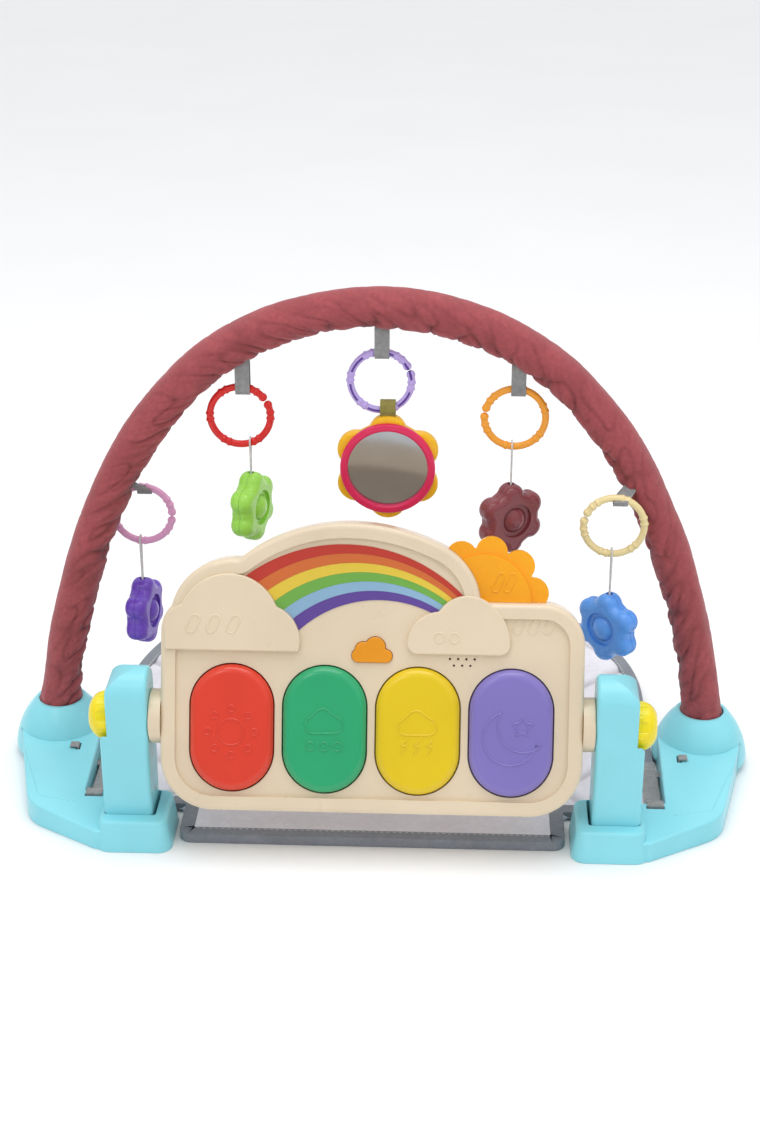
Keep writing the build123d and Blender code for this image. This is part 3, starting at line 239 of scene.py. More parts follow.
class Finish:
    """A material whose nodes are added one by one."""

    def __init__(self, name, roughness=0.5, **sockets):
        self.material = bpy.data.materials.new(name)
        self.material.use_nodes = True
        self.tree = self.material.node_tree
        self.shader = self.tree.nodes["Principled BSDF"]
        self.shader.inputs["Roughness"].default_value = roughness
        for socket, value in sockets.items():
            self.shader.inputs[socket.replace("_", " ")].default_value = value
        self.place = self.tree.nodes.new("ShaderNodeTexCoord")

    def add(self, kind, links=(), values=(), **settings):
        node = self.tree.nodes.new(kind)
        for setting, value in settings.items():
            setattr(node, setting, value)
        for socket, value in values:
            node.inputs[socket].default_value = value
        for socket, source in links:
            self.tree.links.new(source, node.inputs[socket])
        return node

    def noise(self, scale, detail=2.0, where="Object"):
        return self.add(
            "ShaderNodeTexNoise",
            links=(("Vector", self.place.outputs[where]),),
            values=(("Scale", scale), ("Detail", detail)),
        ).outputs["Fac"]

    def ramp(self, source, *stops):
        """Colours at places from 0 to 1 along a value."""
        node = self.add("ShaderNodeValToRGB", links=(("Fac", source),))
        elements = node.color_ramp.elements
        for stop, (place, tint) in zip(elements, stops):
            stop.position = place
            stop.color = (*tint, 1)
        for place, tint in stops[2:]:
            elements.new(place).color = (*tint, 1)
        return node.outputs["Color"]

    def spread(self, source, low, high):
        """A value from 0 to 1 turned into one from low to high."""
        return self.add(
            "ShaderNodeMapRange",
            links=(("Value", source),),
            values=(("From Min", 0.3), ("From Max", 0.7), ("To Min", low), ("To Max", high)),
        ).outputs["Result"]

    def total(self, first, second, operation="ADD"):
        node = self.add("ShaderNodeMath", operation=operation)
        self.tree.links.new(first, node.inputs[0])
        self.tree.links.new(second, node.inputs[1])
        return node.outputs[0]

    def bump(self, height, distance, strength=1.0):
        node = self.add(
            "ShaderNodeBump",
            links=(("Height", height),),
            values=(("Distance", distance), ("Strength", strength)),
        )
        self.tree.links.new(node.outputs["Normal"], self.shader.inputs["Normal"])

    def feed(self, socket, source):
        self.tree.links.new(source, self.shader.inputs[socket])

    def weave(self, pitch):
        """Crossing threads of a cloth, from its own UV map, which is in metres."""
        threads = []
        for direction in ("X", "Y"):
            wave = self.add(
                "ShaderNodeTexWave",
                links=(("Vector", self.place.outputs["UV"]),),
                values=(("Scale", pi / 10 / pitch), ("Distortion", 0.4), ("Detail", 1.0)),
                bands_direction=direction,
            )
            threads.append(wave.outputs["Fac"])
        return self.total(*threads, "MAXIMUM")


def tone(tint, factor):
    return tuple(min(1.0, c * factor) for c in tint[:3])


def moulded(name, tint, gloss):
    """Injection-moulded plastic: faint flow marks, a slight orange peel and handling wear."""
    finish = Finish(
        name,
        Coat_Weight=0.08 + 0.22 * gloss,
        Coat_Roughness=0.14 - 0.10 * gloss,
        Specular_IOR_Level=0.32,
    )
    flow = finish.noise(9, 3)
    finish.feed(
        "Base Color",
        finish.ramp(flow, (0.3, tone(tint, 0.93)), (0.7, tone(tint, 1.04))),
    )
    rub = finish.noise(60, 5)
    rough = 0.42 - 0.26 * gloss
    finish.feed("Roughness", finish.spread(rub, rough, rough + 0.10))
    finish.bump(finish.noise(700 - 420 * gloss, 2), 0.00006)
    return finish.material


# Where a mix node keeps its two colours and their mixture.
MIX_FROM, MIX_TO, MIX_RESULT = 6, 7, 2


def woven(name, tint, pitch, dark=0.72, sheen=0.3, fold=None):
    """Woven cloth: crossing threads, uneven dye, and painted shade that darkens its folds where it is
    drawn in.
    """
    finish = Finish(name, Sheen_Weight=sheen, Sheen_Roughness=0.4, Specular_IOR_Level=0.25)
    threads = finish.weave(pitch)
    dye = finish.total(finish.noise(35, 4), finish.noise(240, 2), "MULTIPLY")
    tint_out = finish.ramp(dye, (0.10, tone(tint, dark)), (0.42, tone(tint, 1.05)))
    # Painted shade: the attribute named by fold darkens the cloth towards a shaded tone in its folds.
    if fold:
        depth = finish.add("ShaderNodeAttribute", attribute_name=fold).outputs["Fac"]
        mix = finish.add("ShaderNodeMix", data_type="RGBA", links=(("Factor", depth),))
        finish.tree.links.new(tint_out, mix.inputs[MIX_FROM])
        mix.inputs[MIX_TO].default_value = (*tone(tint, 0.42), 1)
        tint_out = mix.outputs[MIX_RESULT]
    finish.feed("Base Color", tint_out)
    finish.feed("Roughness", finish.spread(finish.noise(90, 3), 0.72, 0.9))
    finish.bump(threads, 0.00018, 0.7)
    return finish.material


def film(name, tint):
    """Soft mirror film: a grey shine, faintly rippled."""
    finish = Finish(name, Metallic=1.0)
    ripple = finish.noise(26, 1)
    finish.feed("Base Color", finish.ramp(ripple, (0.3, tone(tint, 0.85)), (0.7, tint)))
    finish.feed("Roughness", finish.spread(finish.noise(12, 2), 0.09, 0.17))
    finish.bump(ripple, 0.0004, 0.5)
    return finish.material


def bare_metal(name, tint):
    """Plated steel with fine drawn lines."""
    finish = Finish(name, Metallic=1.0)
    lines = finish.noise(420, 6)
    finish.feed("Base Color", finish.ramp(lines, (0.3, tone(tint, 0.8)), (0.7, tint)))
    finish.feed("Roughness", finish.spread(lines, 0.25, 0.4))
    finish.bump(lines, 0.00005)
    return finish.material


# The name of each slot's material, filled in when the materials are made.
SLOT_NAMES = {}


def finishes():
    """The material of each of the record's slots, made once."""
    found = {m.name: m for m in bpy.data.materials}
    if SLOT_NAMES and set(SLOT_NAMES.values()) <= set(found):
        return {slot: found[name] for slot, name in SLOT_NAMES.items()}
    c = colours()
    made = {
        "aqua_plastic": moulded("satin_aqua", c.aqua, 0.55),
        "knob_plastic": moulded("glossy_knob", c.knob, 0.8),
        "cream_plastic": moulded("satin_cream", c.cream, 0.6),
        "key_red": moulded("glossy_key_red", c.key_red, 1.0),
        "key_green": moulded("glossy_key_green", c.key_green, 1.0),
        "key_yellow": moulded("glossy_key_yellow", c.key_yellow, 1.0),
        "key_purple": moulded("glossy_key_purple", c.key_purple, 1.0),
        "button_orange": moulded("glossy_button", c.button, 0.9),
        "sun_amber": moulded("glossy_sun", c.sun, 0.7),
        "rainbow_print": moulded("printed_film", linear(176, 58, 46), 0.4),
        # The sleeve and mat cloths take painted shade in their folds from their fold attribute.
        "sleeve_fabric": woven("sleeve_cloth", c.sleeve, 0.0008, 0.80, 0.25, "fold"),
        "bow_tube": moulded("pale_tube", linear(214, 214, 208), 0.3),
        "mat_fabric": woven("mat_cloth", c.mat, 0.0007, 0.93, 0.15, "fold"),
        "webbing": woven("grey_webbing", c.webbing, 0.0012, 0.70, 0.1),
        "string": woven("white_cord", c.string, 0.0009, 0.80, 0.1),
        "ring_pink": moulded("glossy_ring_pink", c.ring_pink, 0.85),
        "ring_red": moulded("glossy_ring_red", c.ring_red, 0.85),
        "ring_lilac": moulded("glossy_ring_lilac", c.ring_lilac, 0.85),
        "ring_orange": moulded("glossy_ring_orange", c.ring_orange, 0.85),
        "ring_cream": moulded("glossy_ring_cream", c.ring_cream, 0.85),
        "rattle_purple": moulded("glossy_rattle_purple", c.rattle_purple, 0.85),
        "rattle_green": moulded("glossy_rattle_green", c.rattle_green, 0.85),
        "rattle_brown": moulded("glossy_rattle_brown", c.rattle_brown, 0.85),
        "rattle_blue": moulded("glossy_rattle_blue", c.rattle_blue, 0.85),
        "flower_yellow": moulded("glossy_flower", c.flower, 0.8),
        "bezel_pink": moulded("glossy_rim", c.bezel, 0.9),
        "mirror_film": film("mirror_film", linear(170, 172, 176)),
        "tab_ribbon": woven("olive_ribbon", c.ribbon, 0.0006, 0.75, 0.2),
        "steel": bare_metal("plated_steel", linear(190, 190, 192)),
        "circuit": moulded("green_board", linear(30, 96, 60), 0.6),
        "silicone": moulded("grey_silicone", linear(96, 96, 98), 0.1),
        "battery_wrap": moulded("cell_wrap", linear(44, 44, 50), 0.6),
        "speaker_black": moulded("black_cone", linear(28, 28, 30), 0.1),
    }
    SLOT_NAMES.update({slot: material.name for slot, material in made.items()})
    return made


# ------------------------------------------------------------------------------- mesh tools


def finish_piece(mesh, name, body, slot, replaced=(), smooth=True, materials=()):
    """Turns a bmesh into a piece that rides on a body and takes a slot's finish."""
    data = bpy.data.meshes.new(name)
    mesh.to_mesh(data)
    mesh.free()
    piece = bpy.data.objects.new(name, data)
    bpy.context.scene.collection.objects.link(piece)
    for polygon in data.polygons:
        polygon.use_smooth = smooth
    for material in materials or (finishes()[slot],):
        data.materials.append(material)
    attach(piece, body)
    if replaced:
        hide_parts(*replaced)
    return piece


def faces_out(mesh):
    bmesh.ops.recalc_face_normals(mesh, faces=mesh.faces[:])


def copy_of(*nodes):
    """The solids of some nodes, as one mesh with its vertices joined."""
    mesh = bmesh.new()
    for node in nodes:
        mesh.from_mesh(frame["nodes"][node].data)
    bmesh.ops.remove_doubles(mesh, verts=mesh.verts[:], dist=0.00001)
    return mesh


def surface_of(nodes, axes):
    """Where the nodes' outer faces are, in a piece's own axes."""
    mesh = copy_of(*nodes)
    bmesh.ops.transform(mesh, matrix=axes.inverted(), verts=mesh.verts[:])
    tree = BVHTree.FromBMesh(mesh)
    mesh.free()
    return tree


def settle(mesh, tree, axes, sink=0.0):
    """Lays a flat mesh on the surface below it, sunk by a little, and puts it in its place."""
    for vertex in mesh.verts:
        hit = tree.ray_cast(Vector((vertex.co.x, vertex.co.y, 0.3)), Vector((0, 0, -1)))[0]
        if hit is None:
            raise RuntimeError("a raised line leaves the surface that it lies on")
        vertex.co.z += hit.z - sink
    bmesh.ops.transform(mesh, matrix=axes, verts=mesh.verts[:])


def only(kind, geometry):
    return [g for g in geometry if isinstance(g, kind)]


def bead(mesh, points, radius, closed=False, sides=8):
    """A round bead along points: a circle extruded from point to point, its ends drawn in."""
    count = len(points)

    def place(i):
        before = points[i - 1] if closed or i > 0 else points[0]
        after = points[(i + 1) % count] if closed or i < count - 1 else points[-1]
        turn = (after - before).to_track_quat("Z", "Y").to_matrix().to_4x4()
        size = 0.45 if not closed and i in (0, count - 1) else 1.0
        return Matrix.Translation(points[i]) @ turn @ Matrix.Diagonal((size, size, 1, 1))

    ring = bmesh.ops.create_circle(mesh, segments=sides, radius=radius, matrix=place(0))["verts"]
    first = last = list({edge for vertex in ring for edge in vertex.link_edges})
    for i in range(1, count):
        out = bmesh.ops.extrude_edge_only(mesh, edges=last)["geom"]
        verts = only(bmesh.types.BMVert, out)
        bmesh.ops.transform(mesh, matrix=place(i) @ place(i - 1).inverted(), verts=verts)
        last = only(bmesh.types.BMEdge, out)
    if closed:
        bmesh.ops.bridge_loops(mesh, edges=first + last)
    else:
        for loop in (first, last):
            bmesh.ops.contextual_create(mesh, geom=loop)


def arc(x, y, radius, start=0.0, end=360.0, steps=None):
    """Points round a middle, from one angle to another in degrees."""
    steps = steps or max(4, ceil(abs(end - start) / 12))
    turns = [radians(start + (end - start) * i / steps) for i in range(steps + 1)]
    points = [Vector((x + radius * cos(t), y + radius * sin(t), 0)) for t in turns]
    return points[:-1] if abs(end - start) >= 360 else points


def between(start, end, step):
    """Points on a straight run, no further apart than a step."""
    start, end = Vector((*start, 0)), Vector((*end, 0))
    count = max(1, ceil((end - start).length / step))
    return [start.lerp(end, i / count) for i in range(count + 1)]


def run(corners, step=0.002, closed=False):
    """Points along straight runs between corners."""
    ends = list(corners) + ([corners[0]] if closed else [])
    points = []
    for start, end in zip(ends, ends[1:]):
        points += between(start, end, step)[:-1]
    return points if closed else points + [Vector((*ends[-1], 0))]


def capsule(x, y, width, height, tilt):
    """The outline of a slanted capsule, as points."""
    half = (height - width) / 2
    turn = Matrix.Rotation(radians(tilt), 3, "Z")
    outline = arc(0, half, width / 2, 0, 180, 10) + arc(0, -half, width / 2, 180, 360, 10)
    return [turn @ p + Vector((x, y, 0)) for p in outline]


def cloud(x, y, width):
    """The outline of a cloud: three humps over a level foot, as points."""
    unit = width / 30
    humps = (
        arc(-8.5 * unit, 0, 6.5 * unit, 270, 115, 9)
        + arc(-1 * unit, 5.5 * unit, 7.5 * unit, 150, 35, 9)
        + arc(8.5 * unit, 0.5 * unit, 6.5 * unit, 80, -90, 9)
    )
    foot = between((8.5 * unit, -6.2 * unit), (-8.5 * unit, -6.5 * unit), 0.002)[1:-1]
    return [p + Vector((x, y, 0)) for p in humps + foot]


# ------------------------------------------------------------------------------- the stage


CAMERA_PLACE = (0.0801, -1.9198, 1.0601)
CAMERA_LOOK = (-0.03953, 0.90544, -0.42262)
CAMERA_LENS = 63.16
SENSOR_WIDTH = 36
FLOOR_HALF = 14
FLOOR_DROP = 0.0004
LIGHTS_AIM = Vector((0, -0.15, 0.15))

# The lights: name, place, size and power. The sky is dimmer near the horizon than overhead.
LIGHTS = (
    ("key_light", (-1.1, -1.9, 2.3), 0.8, 5),
    ("fill_light", (1.9, -1.6, 1.5), 1.6, 2),
    ("top_light", (0.1, -0.2, 2.6), 1.8, 23),
)
SKY_COLOUR = (0.97, 0.98, 1.0, 1)
SKY_RISE = (("From Min", -0.1), ("From Max", 0.9), ("To Min", 0.34), ("To Max", 1.10))


class GYM_OT_stage(bpy.types.Operator):
    """Sets the camera, the floor and the soft lights"""

    bl_idname = "gym.stage"
    bl_label = "Stage"

    def execute(self, context):
        scene = context.scene
        data = bpy.data.cameras.new("camera")
        data.lens = CAMERA_LENS
        data.sensor_width = SENSOR_WIDTH
        camera = bpy.data.objects.new("camera", data)
        camera.location = CAMERA_PLACE
        camera.rotation_euler = Vector(CAMERA_LOOK).to_track_quat("-Z", "Y").to_euler()
        scene.collection.objects.link(camera)
        scene.camera = camera

        mesh = bmesh.new()
        bmesh.ops.create_grid(mesh, x_segments=2, y_segments=2, size=FLOOR_HALF)
        bmesh.ops.translate(mesh, vec=(0, 0, -FLOOR_DROP), verts=mesh.verts[:])
        floor_data = bpy.data.meshes.new("floor")
        mesh.to_mesh(floor_data)
        mesh.free()
        floor = bpy.data.objects.new("floor", floor_data)
        scene.collection.objects.link(floor)
        paper = Finish("pale_floor", 0.65, Specular_IOR_Level=0.2)
        grain = paper.noise(3, 4)
        paper.feed("Base Color", paper.ramp(grain, (0.3, (0.93,) * 3), (0.7, (0.95,) * 3)))
        floor_data.materials.append(paper.material)

        world = bpy.data.worlds.new("studio")
        world.use_nodes = True
        tree = world.node_tree
        background = tree.nodes["Background"]
        background.inputs["Color"].default_value = SKY_COLOUR
        place = tree.nodes.new("ShaderNodeTexCoord")
        split = tree.nodes.new("ShaderNodeSeparateXYZ")
        rise = tree.nodes.new("ShaderNodeMapRange")
        for socket, value in SKY_RISE:
            rise.inputs[socket].default_value = value
        tree.links.new(place.outputs["Generated"], split.inputs["Vector"])
        tree.links.new(split.outputs["Z"], rise.inputs["Value"])
        tree.links.new(rise.outputs["Result"], background.inputs["Strength"])
        scene.world = world
        for name, place, size, power in LIGHTS:
            light = bpy.data.lights.new(name, "AREA")
            light.shape = "SQUARE"
            light.size = size
            light.energy = power
            lamp = bpy.data.objects.new(name, light)
            lamp.location = place
            aim = LIGHTS_AIM - lamp.location
            lamp.rotation_euler = aim.to_track_quat("-Z", "Y").to_euler()
            scene.collection.objects.link(lamp)
        scene.view_settings.view_transform = "Standard"
        return {"FINISHED"}


# ------------------------------------------------------------------------------- strings


class GYM_OT_strings(bpy.types.Operator):
    """Hangs each rattle's doubled string from its link ring"""

    bl_idname = "gym.strings"
    bl_label = "Strings"

    def execute(self, context):
        for name, (x, length_of, route) in STRINGS.items():
            data = bpy.data.curves.new(f"cord_{name}", "CURVE")
            data.dimensions = "3D"
            data.bevel_depth = STRING_DIAMETER / 2
            data.bevel_resolution = 4
            data.resolution_u = 10
            spline = data.splines.new("NURBS")
            spline.points.add(len(route) - 1)
            for point, (y, z) in zip(spline.points, route):
                point.co = (x, y, z, 1)
            spline.order_u = 3
            spline.use_endpoint_u = True
            data.materials.append(finishes()["string"])
            piece = bpy.data.objects.new(f"cord_{name}", data)
            context.scene.collection.objects.link(piece)
            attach(piece, f"rattle_{name}")
            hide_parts(f"string_{name}")
        return {"FINISHED"}


# ------------------------------------------------------------------------------- the bow


SLEEVE_RADIUS = 0.0195
SLEEVE_SIDES = 72
SLEEVE_STEP = 0.0022
SLEEVE_END = 0.030      # how far from its ends the sleeve is gathered
PLEAT = 0.0007          # depth of the pleats at the ends
FLARE = 0.0016          # how far the ends widen to fill the domes' mouths


def along_bow(point):
    """How far along the bow a point is (from the crown), its turn round the sleeve (0 outside,
    pi inside) and the middle of the sleeve there."""
    x, z = abs(point.x), point.z
    middle = Vector((0, 0, BOW_CROWN))
    turn = 0.0
    travel = 0.0
    for end, radius in BOW_ARCS:
        end = radians(end)
        centre = middle - radius * Vector((sin(turn), 0, cos(turn)))
        here = atan2(x - centre.x, z - centre.z)
        if here <= end + 0.0001 or (end, radius) == (radians(BOW_ARCS[-1][0]), BOW_ARCS[-1][1]):
            out = Vector((sin(here), 0, cos(here)))
            core = centre + radius * out
            travel += radius * (here - turn)
            break
        travel += radius * (end - turn)
        middle = centre + radius * Vector((sin(end), 0, cos(end)))
        turn = end
    side = 1 if point.x >= 0 else -1
    core = Vector((side * core.x, BOW_Y, core.z))
    out.x *= side
    off = point - core
    round_it = atan2(off.y, off.dot(out))
    return side * travel, round_it, core


class GYM_OT_sleeve(bpy.types.Operator):
    """Makes the bow's padded sleeve, gathered along its inner side"""

    bl_idname = "gym.sleeve"
    bl_label = "Bow sleeve"

    def execute(self, context):
        s = sizes()
        radius = SLEEVE_RADIUS
        mesh = bmesh.new()
        start = Matrix.Translation((0, BOW_Y, BOW_CROWN)) @ Matrix.Rotation(pi / 2, 4, "Y")
        bmesh.ops.create_circle(mesh, segments=SLEEVE_SIDES, radius=radius, matrix=start)
        edges = mesh.edges[:]
        middle = Vector((0, BOW_Y, BOW_CROWN))
        turn = 0.0
        for end, bend in BOW_ARCS:
            end = radians(end)
            centre = middle - bend * Vector((sin(turn), 0, cos(turn)))
            out = bmesh.ops.spin(
                mesh,
                geom=edges,
                cent=centre,
                axis=(0, 1, 0),
                angle=end - turn,
                steps=ceil(bend * (end - turn) / SLEEVE_STEP),
                use_duplicate=False,
            )
            edges = only(bmesh.types.BMEdge, out["geom_last"])
            middle = centre + bend * Vector((sin(end), 0, cos(end)))
            turn = end
        half = mesh.verts[:] + mesh.edges[:] + mesh.faces[:]
        bmesh.ops.mirror(mesh, geom=half, merge_dist=0.00005, axis="X")
        faces_out(mesh)
        fold_shade_of = mesh.verts.layers.float.new("fold")
        uv = mesh.loops.layers.uv.new("cloth")
        full = abs(along_bow(Vector((middle.x, BOW_Y, middle.z)))[0])
        places = {}
        for vertex in mesh.verts:
            travel, round_it, core = along_bow(vertex.co)
            places[vertex] = (travel, round_it)
            inner = (1 - cos(round_it)) / 2
            drift = noise.noise(Vector((travel * 9, 3, 1)))
            slant = travel + 0.022 * cos(round_it) + 0.012 * sin(round_it) * drift
            gather = noise.noise(Vector((slant * 36, 0.9 * cos(round_it), 5)))
            second = noise.noise(Vector((slant * 80, 1.2 * sin(round_it), 11)))
            crease = max(0.0, 1 - abs(gather) * 5.0) ** 2
            fine = max(0.0, 1 - abs(second) * 4.5) ** 2
            swell = noise.noise(Vector((travel * 16, cos(round_it), sin(round_it) + 20)))
            fold = s.sleeve_fold * (0.12 + 0.88 * inner**1.3) * (0.8 * crease + 0.25 * fine)
            fold += 0.0005 * (0.15 + inner) * fine
            near_end = max(0.0, 1 - (full - abs(travel)) / SLEEVE_END)
            pleat = PLEAT * near_end * cos(9 * round_it + 3 * sin(round_it))
            flare = FLARE * min(1.0, near_end * 1.4)
            grow = s.sleeve_wave * swell + 0.0004 - fold - pleat + flare
            off = vertex.co - core
            vertex.co = core + off * ((radius + grow) / off.length)
            # Painted shade: how far the cloth is darkened, deepest in the gathers and in the pleats
            # at the ends.
            vertex[fold_shade_of] = min(1.0, (fold + max(0.0, pleat)) / (0.8 * s.sleeve_fold))
        for face in mesh.faces:
            turns = [places[loop.vert][1] for loop in face.loops]
            wrap = max(turns) - min(turns) > pi
            for loop in face.loops:
                travel, round_it = places[loop.vert]
                if wrap and round_it < 0:
                    round_it += 2 * pi
                loop[uv].uv = (travel, round_it * radius)
        piece = finish_piece(mesh, "sleeve_cloth", "arch", "sleeve_fabric", ("arch_sleeve",))
        return {"FINISHED"}


# ------------------------------------------------------------------------------- the mat

MAT_HALF = 0.283
MAT_CENTRE_Y = 0.019
MAT_STEP_Y = -0.226
MAT_TONGUE_HALF = 0.187
MAT_FRONT_Y = -0.282
MAT_TOP = 0.011
MAT_CORNER = 0.012
MAT_VOXEL = 0.0034
MAT_EASE = 0.030         # how far in from the binding the padding reaches its full height
QUILT_LINE = 0.0045      # half the width that a sewn line draws in
BINDING_HEIGHT = 0.0096
BINDING_ROUND = 0.0034
STITCH_LENGTH, STITCH_PITCH, STITCH_RADIUS = 0.0032, 0.0052, 0.00045


def mat_edge(x, y):
    """How far inside the mat's edge a place is."""
    x = abs(x)
    if y > MAT_CENTRE_Y:
        return MAT_HALF - hypot(x, y - MAT_CENTRE_Y)
    if y < MAT_STEP_Y:
        return min(MAT_TONGUE_HALF - x, y - MAT_FRONT_Y)
    sides = MAT_HALF - x
    if x > MAT_TONGUE_HALF:
        return min(sides, y - MAT_STEP_Y)
    corner = hypot(MAT_TONGUE_HALF - x, y - MAT_STEP_Y)
    return min(sides, y - MAT_FRONT_Y, corner)


def mat_outline(mesh):
    """The mat's outline as one loop of edges: a half circle, its sides and the front tongue."""
    start = mesh.verts.new((MAT_HALF, MAT_CENTRE_Y, 0))
    out = bmesh.ops.spin(
        mesh,
        geom=[start],
        cent=(0, MAT_CENTRE_Y, 0),
        axis=(0, 0, 1),
        angle=pi,
        steps=120,
        use_duplicate=False,
    )
    end = only(bmesh.types.BMVert, out["geom_last"])[0]
    if end.co.x > 0 or end.co.y > MAT_CENTRE_Y + 0.001:
        raise RuntimeError("the mat's round end was spun the wrong way")
    corners = [
        mesh.verts.new((x, y, 0))
        for x, y in (
            (-MAT_HALF, MAT_STEP_Y),
            (-MAT_TONGUE_HALF, MAT_STEP_Y),
            (-MAT_TONGUE_HALF, MAT_FRONT_Y),
            (MAT_TONGUE_HALF, MAT_FRONT_Y),
            (MAT_TONGUE_HALF, MAT_STEP_Y),
            (MAT_HALF, MAT_STEP_Y),
        )
    ]
    chain = [end, *corners, start]
    for first, second in zip(chain, chain[1:]):
        mesh.edges.new((first, second))
    rounded = [corners[0], corners[2], corners[3], corners[5]]
    bmesh.ops.bevel(
        mesh,
        geom=rounded,
        offset=MAT_CORNER,
        affect="VERTICES",
        segments=5,
        profile=0.5,
        material=-1,
        offset_type="OFFSET",
    )
    return bmesh.ops.contextual_create(mesh, geom=mesh.edges[:])["faces"]


class GYM_OT_mat(bpy.types.Operator):
    """Makes the quilted mat, its binding and the stitches along the binding"""

    bl_idname = "gym.mat"
    bl_label = "Mat"

    def execute(self, context):
        s = sizes()
        band = s.binding_width
        mesh = bmesh.new()
        face = mat_outline(mesh)[0]
        out = bmesh.ops.extrude_face_region(mesh, geom=[face])
        raised = only(bmesh.types.BMVert, out["geom"])
        bmesh.ops.translate(mesh, vec=(0, 0, MAT_TOP - 0.001), verts=raised)
        faces_out(mesh)
        data = bpy.data.meshes.new("mat_block")
        mesh.to_mesh(data)
        mesh.free()
        block = bpy.data.objects.new("mat_block", data)
        context.scene.collection.objects.link(block)
        remesh = block.modifiers.new("even", "REMESH")
        remesh.mode = "VOXEL"
        remesh.voxel_size = MAT_VOXEL
        context.view_layer.update()
        graph = context.evaluated_depsgraph_get()
        even = bpy.data.meshes.new_from_object(block.evaluated_get(graph))
        bpy.data.objects.remove(block)
        mesh = bmesh.new()
        mesh.from_mesh(even)
        quilt_shade_of = mesh.verts.layers.float.new("fold")
        uv = mesh.loops.layers.uv.new("cloth")
        for vertex in mesh.verts:
            x, y = vertex.co.x, vertex.co.y
            inside = mat_edge(x, y)
            upper = max(0.0, min(1.0, vertex.co.z / (MAT_TOP - 0.001)))
            line = 1.0
            draw = 0.0
            for along in ((x + y) / sqrt(2), (x - y) / sqrt(2)):
                away = abs((along + 0.5 * s.quilt_pitch) % s.quilt_pitch - 0.5 * s.quilt_pitch)
                draw = max(draw, exp(-((away / QUILT_LINE) ** 2)))
                line = min(line, away / (0.5 * s.quilt_pitch))
            rise = 0.55 + 0.45 * sqrt(max(0.0, min(1.0, (inside - 0.5 * band) / MAT_EASE)))
            crown = MAT_TOP * rise + 0.0010 * (1 - (1 - line) ** 3)
            pucker = 0.0008 * noise.noise(Vector((x * 75, y * 75, 2))) * (1 - line) ** 2
            pucker += 0.0009 * noise.noise(Vector((x * 14, y * 14, 8)))
            if y < MAT_STEP_Y + MAT_CORNER:
                draw *= max(0.0, (y - MAT_STEP_Y) / MAT_CORNER)
            if inside > 0.5 * band:
                crown += pucker - s.quilt_depth * draw * 0.8
                # Painted shade along the sewn lines, on the mat's top.
                vertex[quilt_shade_of] = 0.55 * draw * upper
            vertex.co.z = upper * crown
            if inside < 0.002:
                vertex.co.x *= 0.995
        for face in mesh.faces:
            for loop in face.loops:
                loop[uv].uv = (loop.vert.co.x, loop.vert.co.y)
        faces_out(mesh)
        pad = finish_piece(mesh, "mat_pad", "root", "mat_fabric", ("play_mat",))

        mesh = bmesh.new()
        face = mat_outline(mesh)[0]
        bmesh.ops.inset_region(
            mesh, faces=[face], thickness=band, use_boundary=True, use_even_offset=True
        )
        bmesh.ops.delete(mesh, geom=[face], context="FACES")
        out = bmesh.ops.extrude_face_region(mesh, geom=mesh.faces[:])
        raised = only(bmesh.types.BMVert, out["geom"])
        bmesh.ops.translate(mesh, vec=(0, 0, BINDING_HEIGHT), verts=raised)
        faces_out(mesh)
        rims = [
            edge
            for edge in mesh.edges
            if len(edge.link_faces) == 2 and edge.calc_face_angle(0) > 1.2
        ]
        bmesh.ops.bevel(
            mesh,
            geom=rims,
            offset=BINDING_ROUND,
            affect="EDGES",
            segments=4,
            profile=0.5,
            material=-1,
            offset_type="OFFSET",
            clamp_overlap=True,
        )
        uv = mesh.loops.layers.uv.new("cloth")
        for face in mesh.faces:
            for loop in face.loops:
                loop[uv].uv = (loop.vert.co.x, loop.vert.co.y + loop.vert.co.z)
        cloth = woven("binding_cloth", colours().binding, 0.0009, 0.82, 0.2)
        finish_piece(mesh, "mat_binding", "root", "mat_fabric", materials=(cloth,))

        mesh = bmesh.new()
        inset = band - 0.0022
        line = arc(0, MAT_CENTRE_Y, MAT_HALF - inset, 0, 180, 160)
        line += run(((-MAT_HALF + inset, MAT_CENTRE_Y), (-MAT_HALF + inset, MAT_STEP_Y + inset)))
        line += run(
            (
                (-MAT_TONGUE_HALF + inset, MAT_FRONT_Y + inset),
                (MAT_TONGUE_HALF - inset, MAT_FRONT_Y + inset),
            )
        )
        line += run(((MAT_HALF - inset, MAT_STEP_Y + inset), (MAT_HALF - inset, MAT_CENTRE_Y)))
        travel = 0.0
        for first, second in zip(line, line[1:]):
            step = (second - first).length
            if step > 0.02:
                continue
            travel += step
            if travel >= STITCH_PITCH:
                travel = 0.0
                way = (second - first).normalized() * STITCH_LENGTH / 2
                middle = second + Vector((0, 0, BINDING_HEIGHT - 0.0001))
                bead(mesh, [middle - way, middle, middle + way], STITCH_RADIUS, sides=5)
        finish_piece(mesh, "mat_stitches", "root", "string")
        return {"FINISHED"}


# ------------------------------------------------------------------------------- webbing


LOOP_WIDTH = 0.014
LOOP_BEND = 0.00575


def tape(mesh, width, points, thickness, uv):
    """A woven tape: an edge across the tape is extruded from point to point."""
    points = [Vector(p) for p in points]
    across = Vector((width / 2, 0, 0))
    ends = [mesh.verts.new(points[0] - across), mesh.verts.new(points[0] + across)]
    edge = [mesh.edges.new(ends)]
    made = []
    travel = 0.0
    for start, end in zip(points, points[1:]):
        out = bmesh.ops.extrude_edge_only(mesh, edges=edge)["geom"]
        verts = only(bmesh.types.BMVert, out)
        bmesh.ops.translate(mesh, vec=end - start, verts=verts)
        edge = only(bmesh.types.BMEdge, out)
        step = (end - start).length
        for face in only(bmesh.types.BMFace, out):
            made.append(face)
            for loop in face.loops:
                loop[uv].uv = (loop.vert.co.x, travel + (step if loop.vert in verts else 0))
        travel += step
    bmesh.ops.solidify(mesh, geom=made, thickness=thickness)


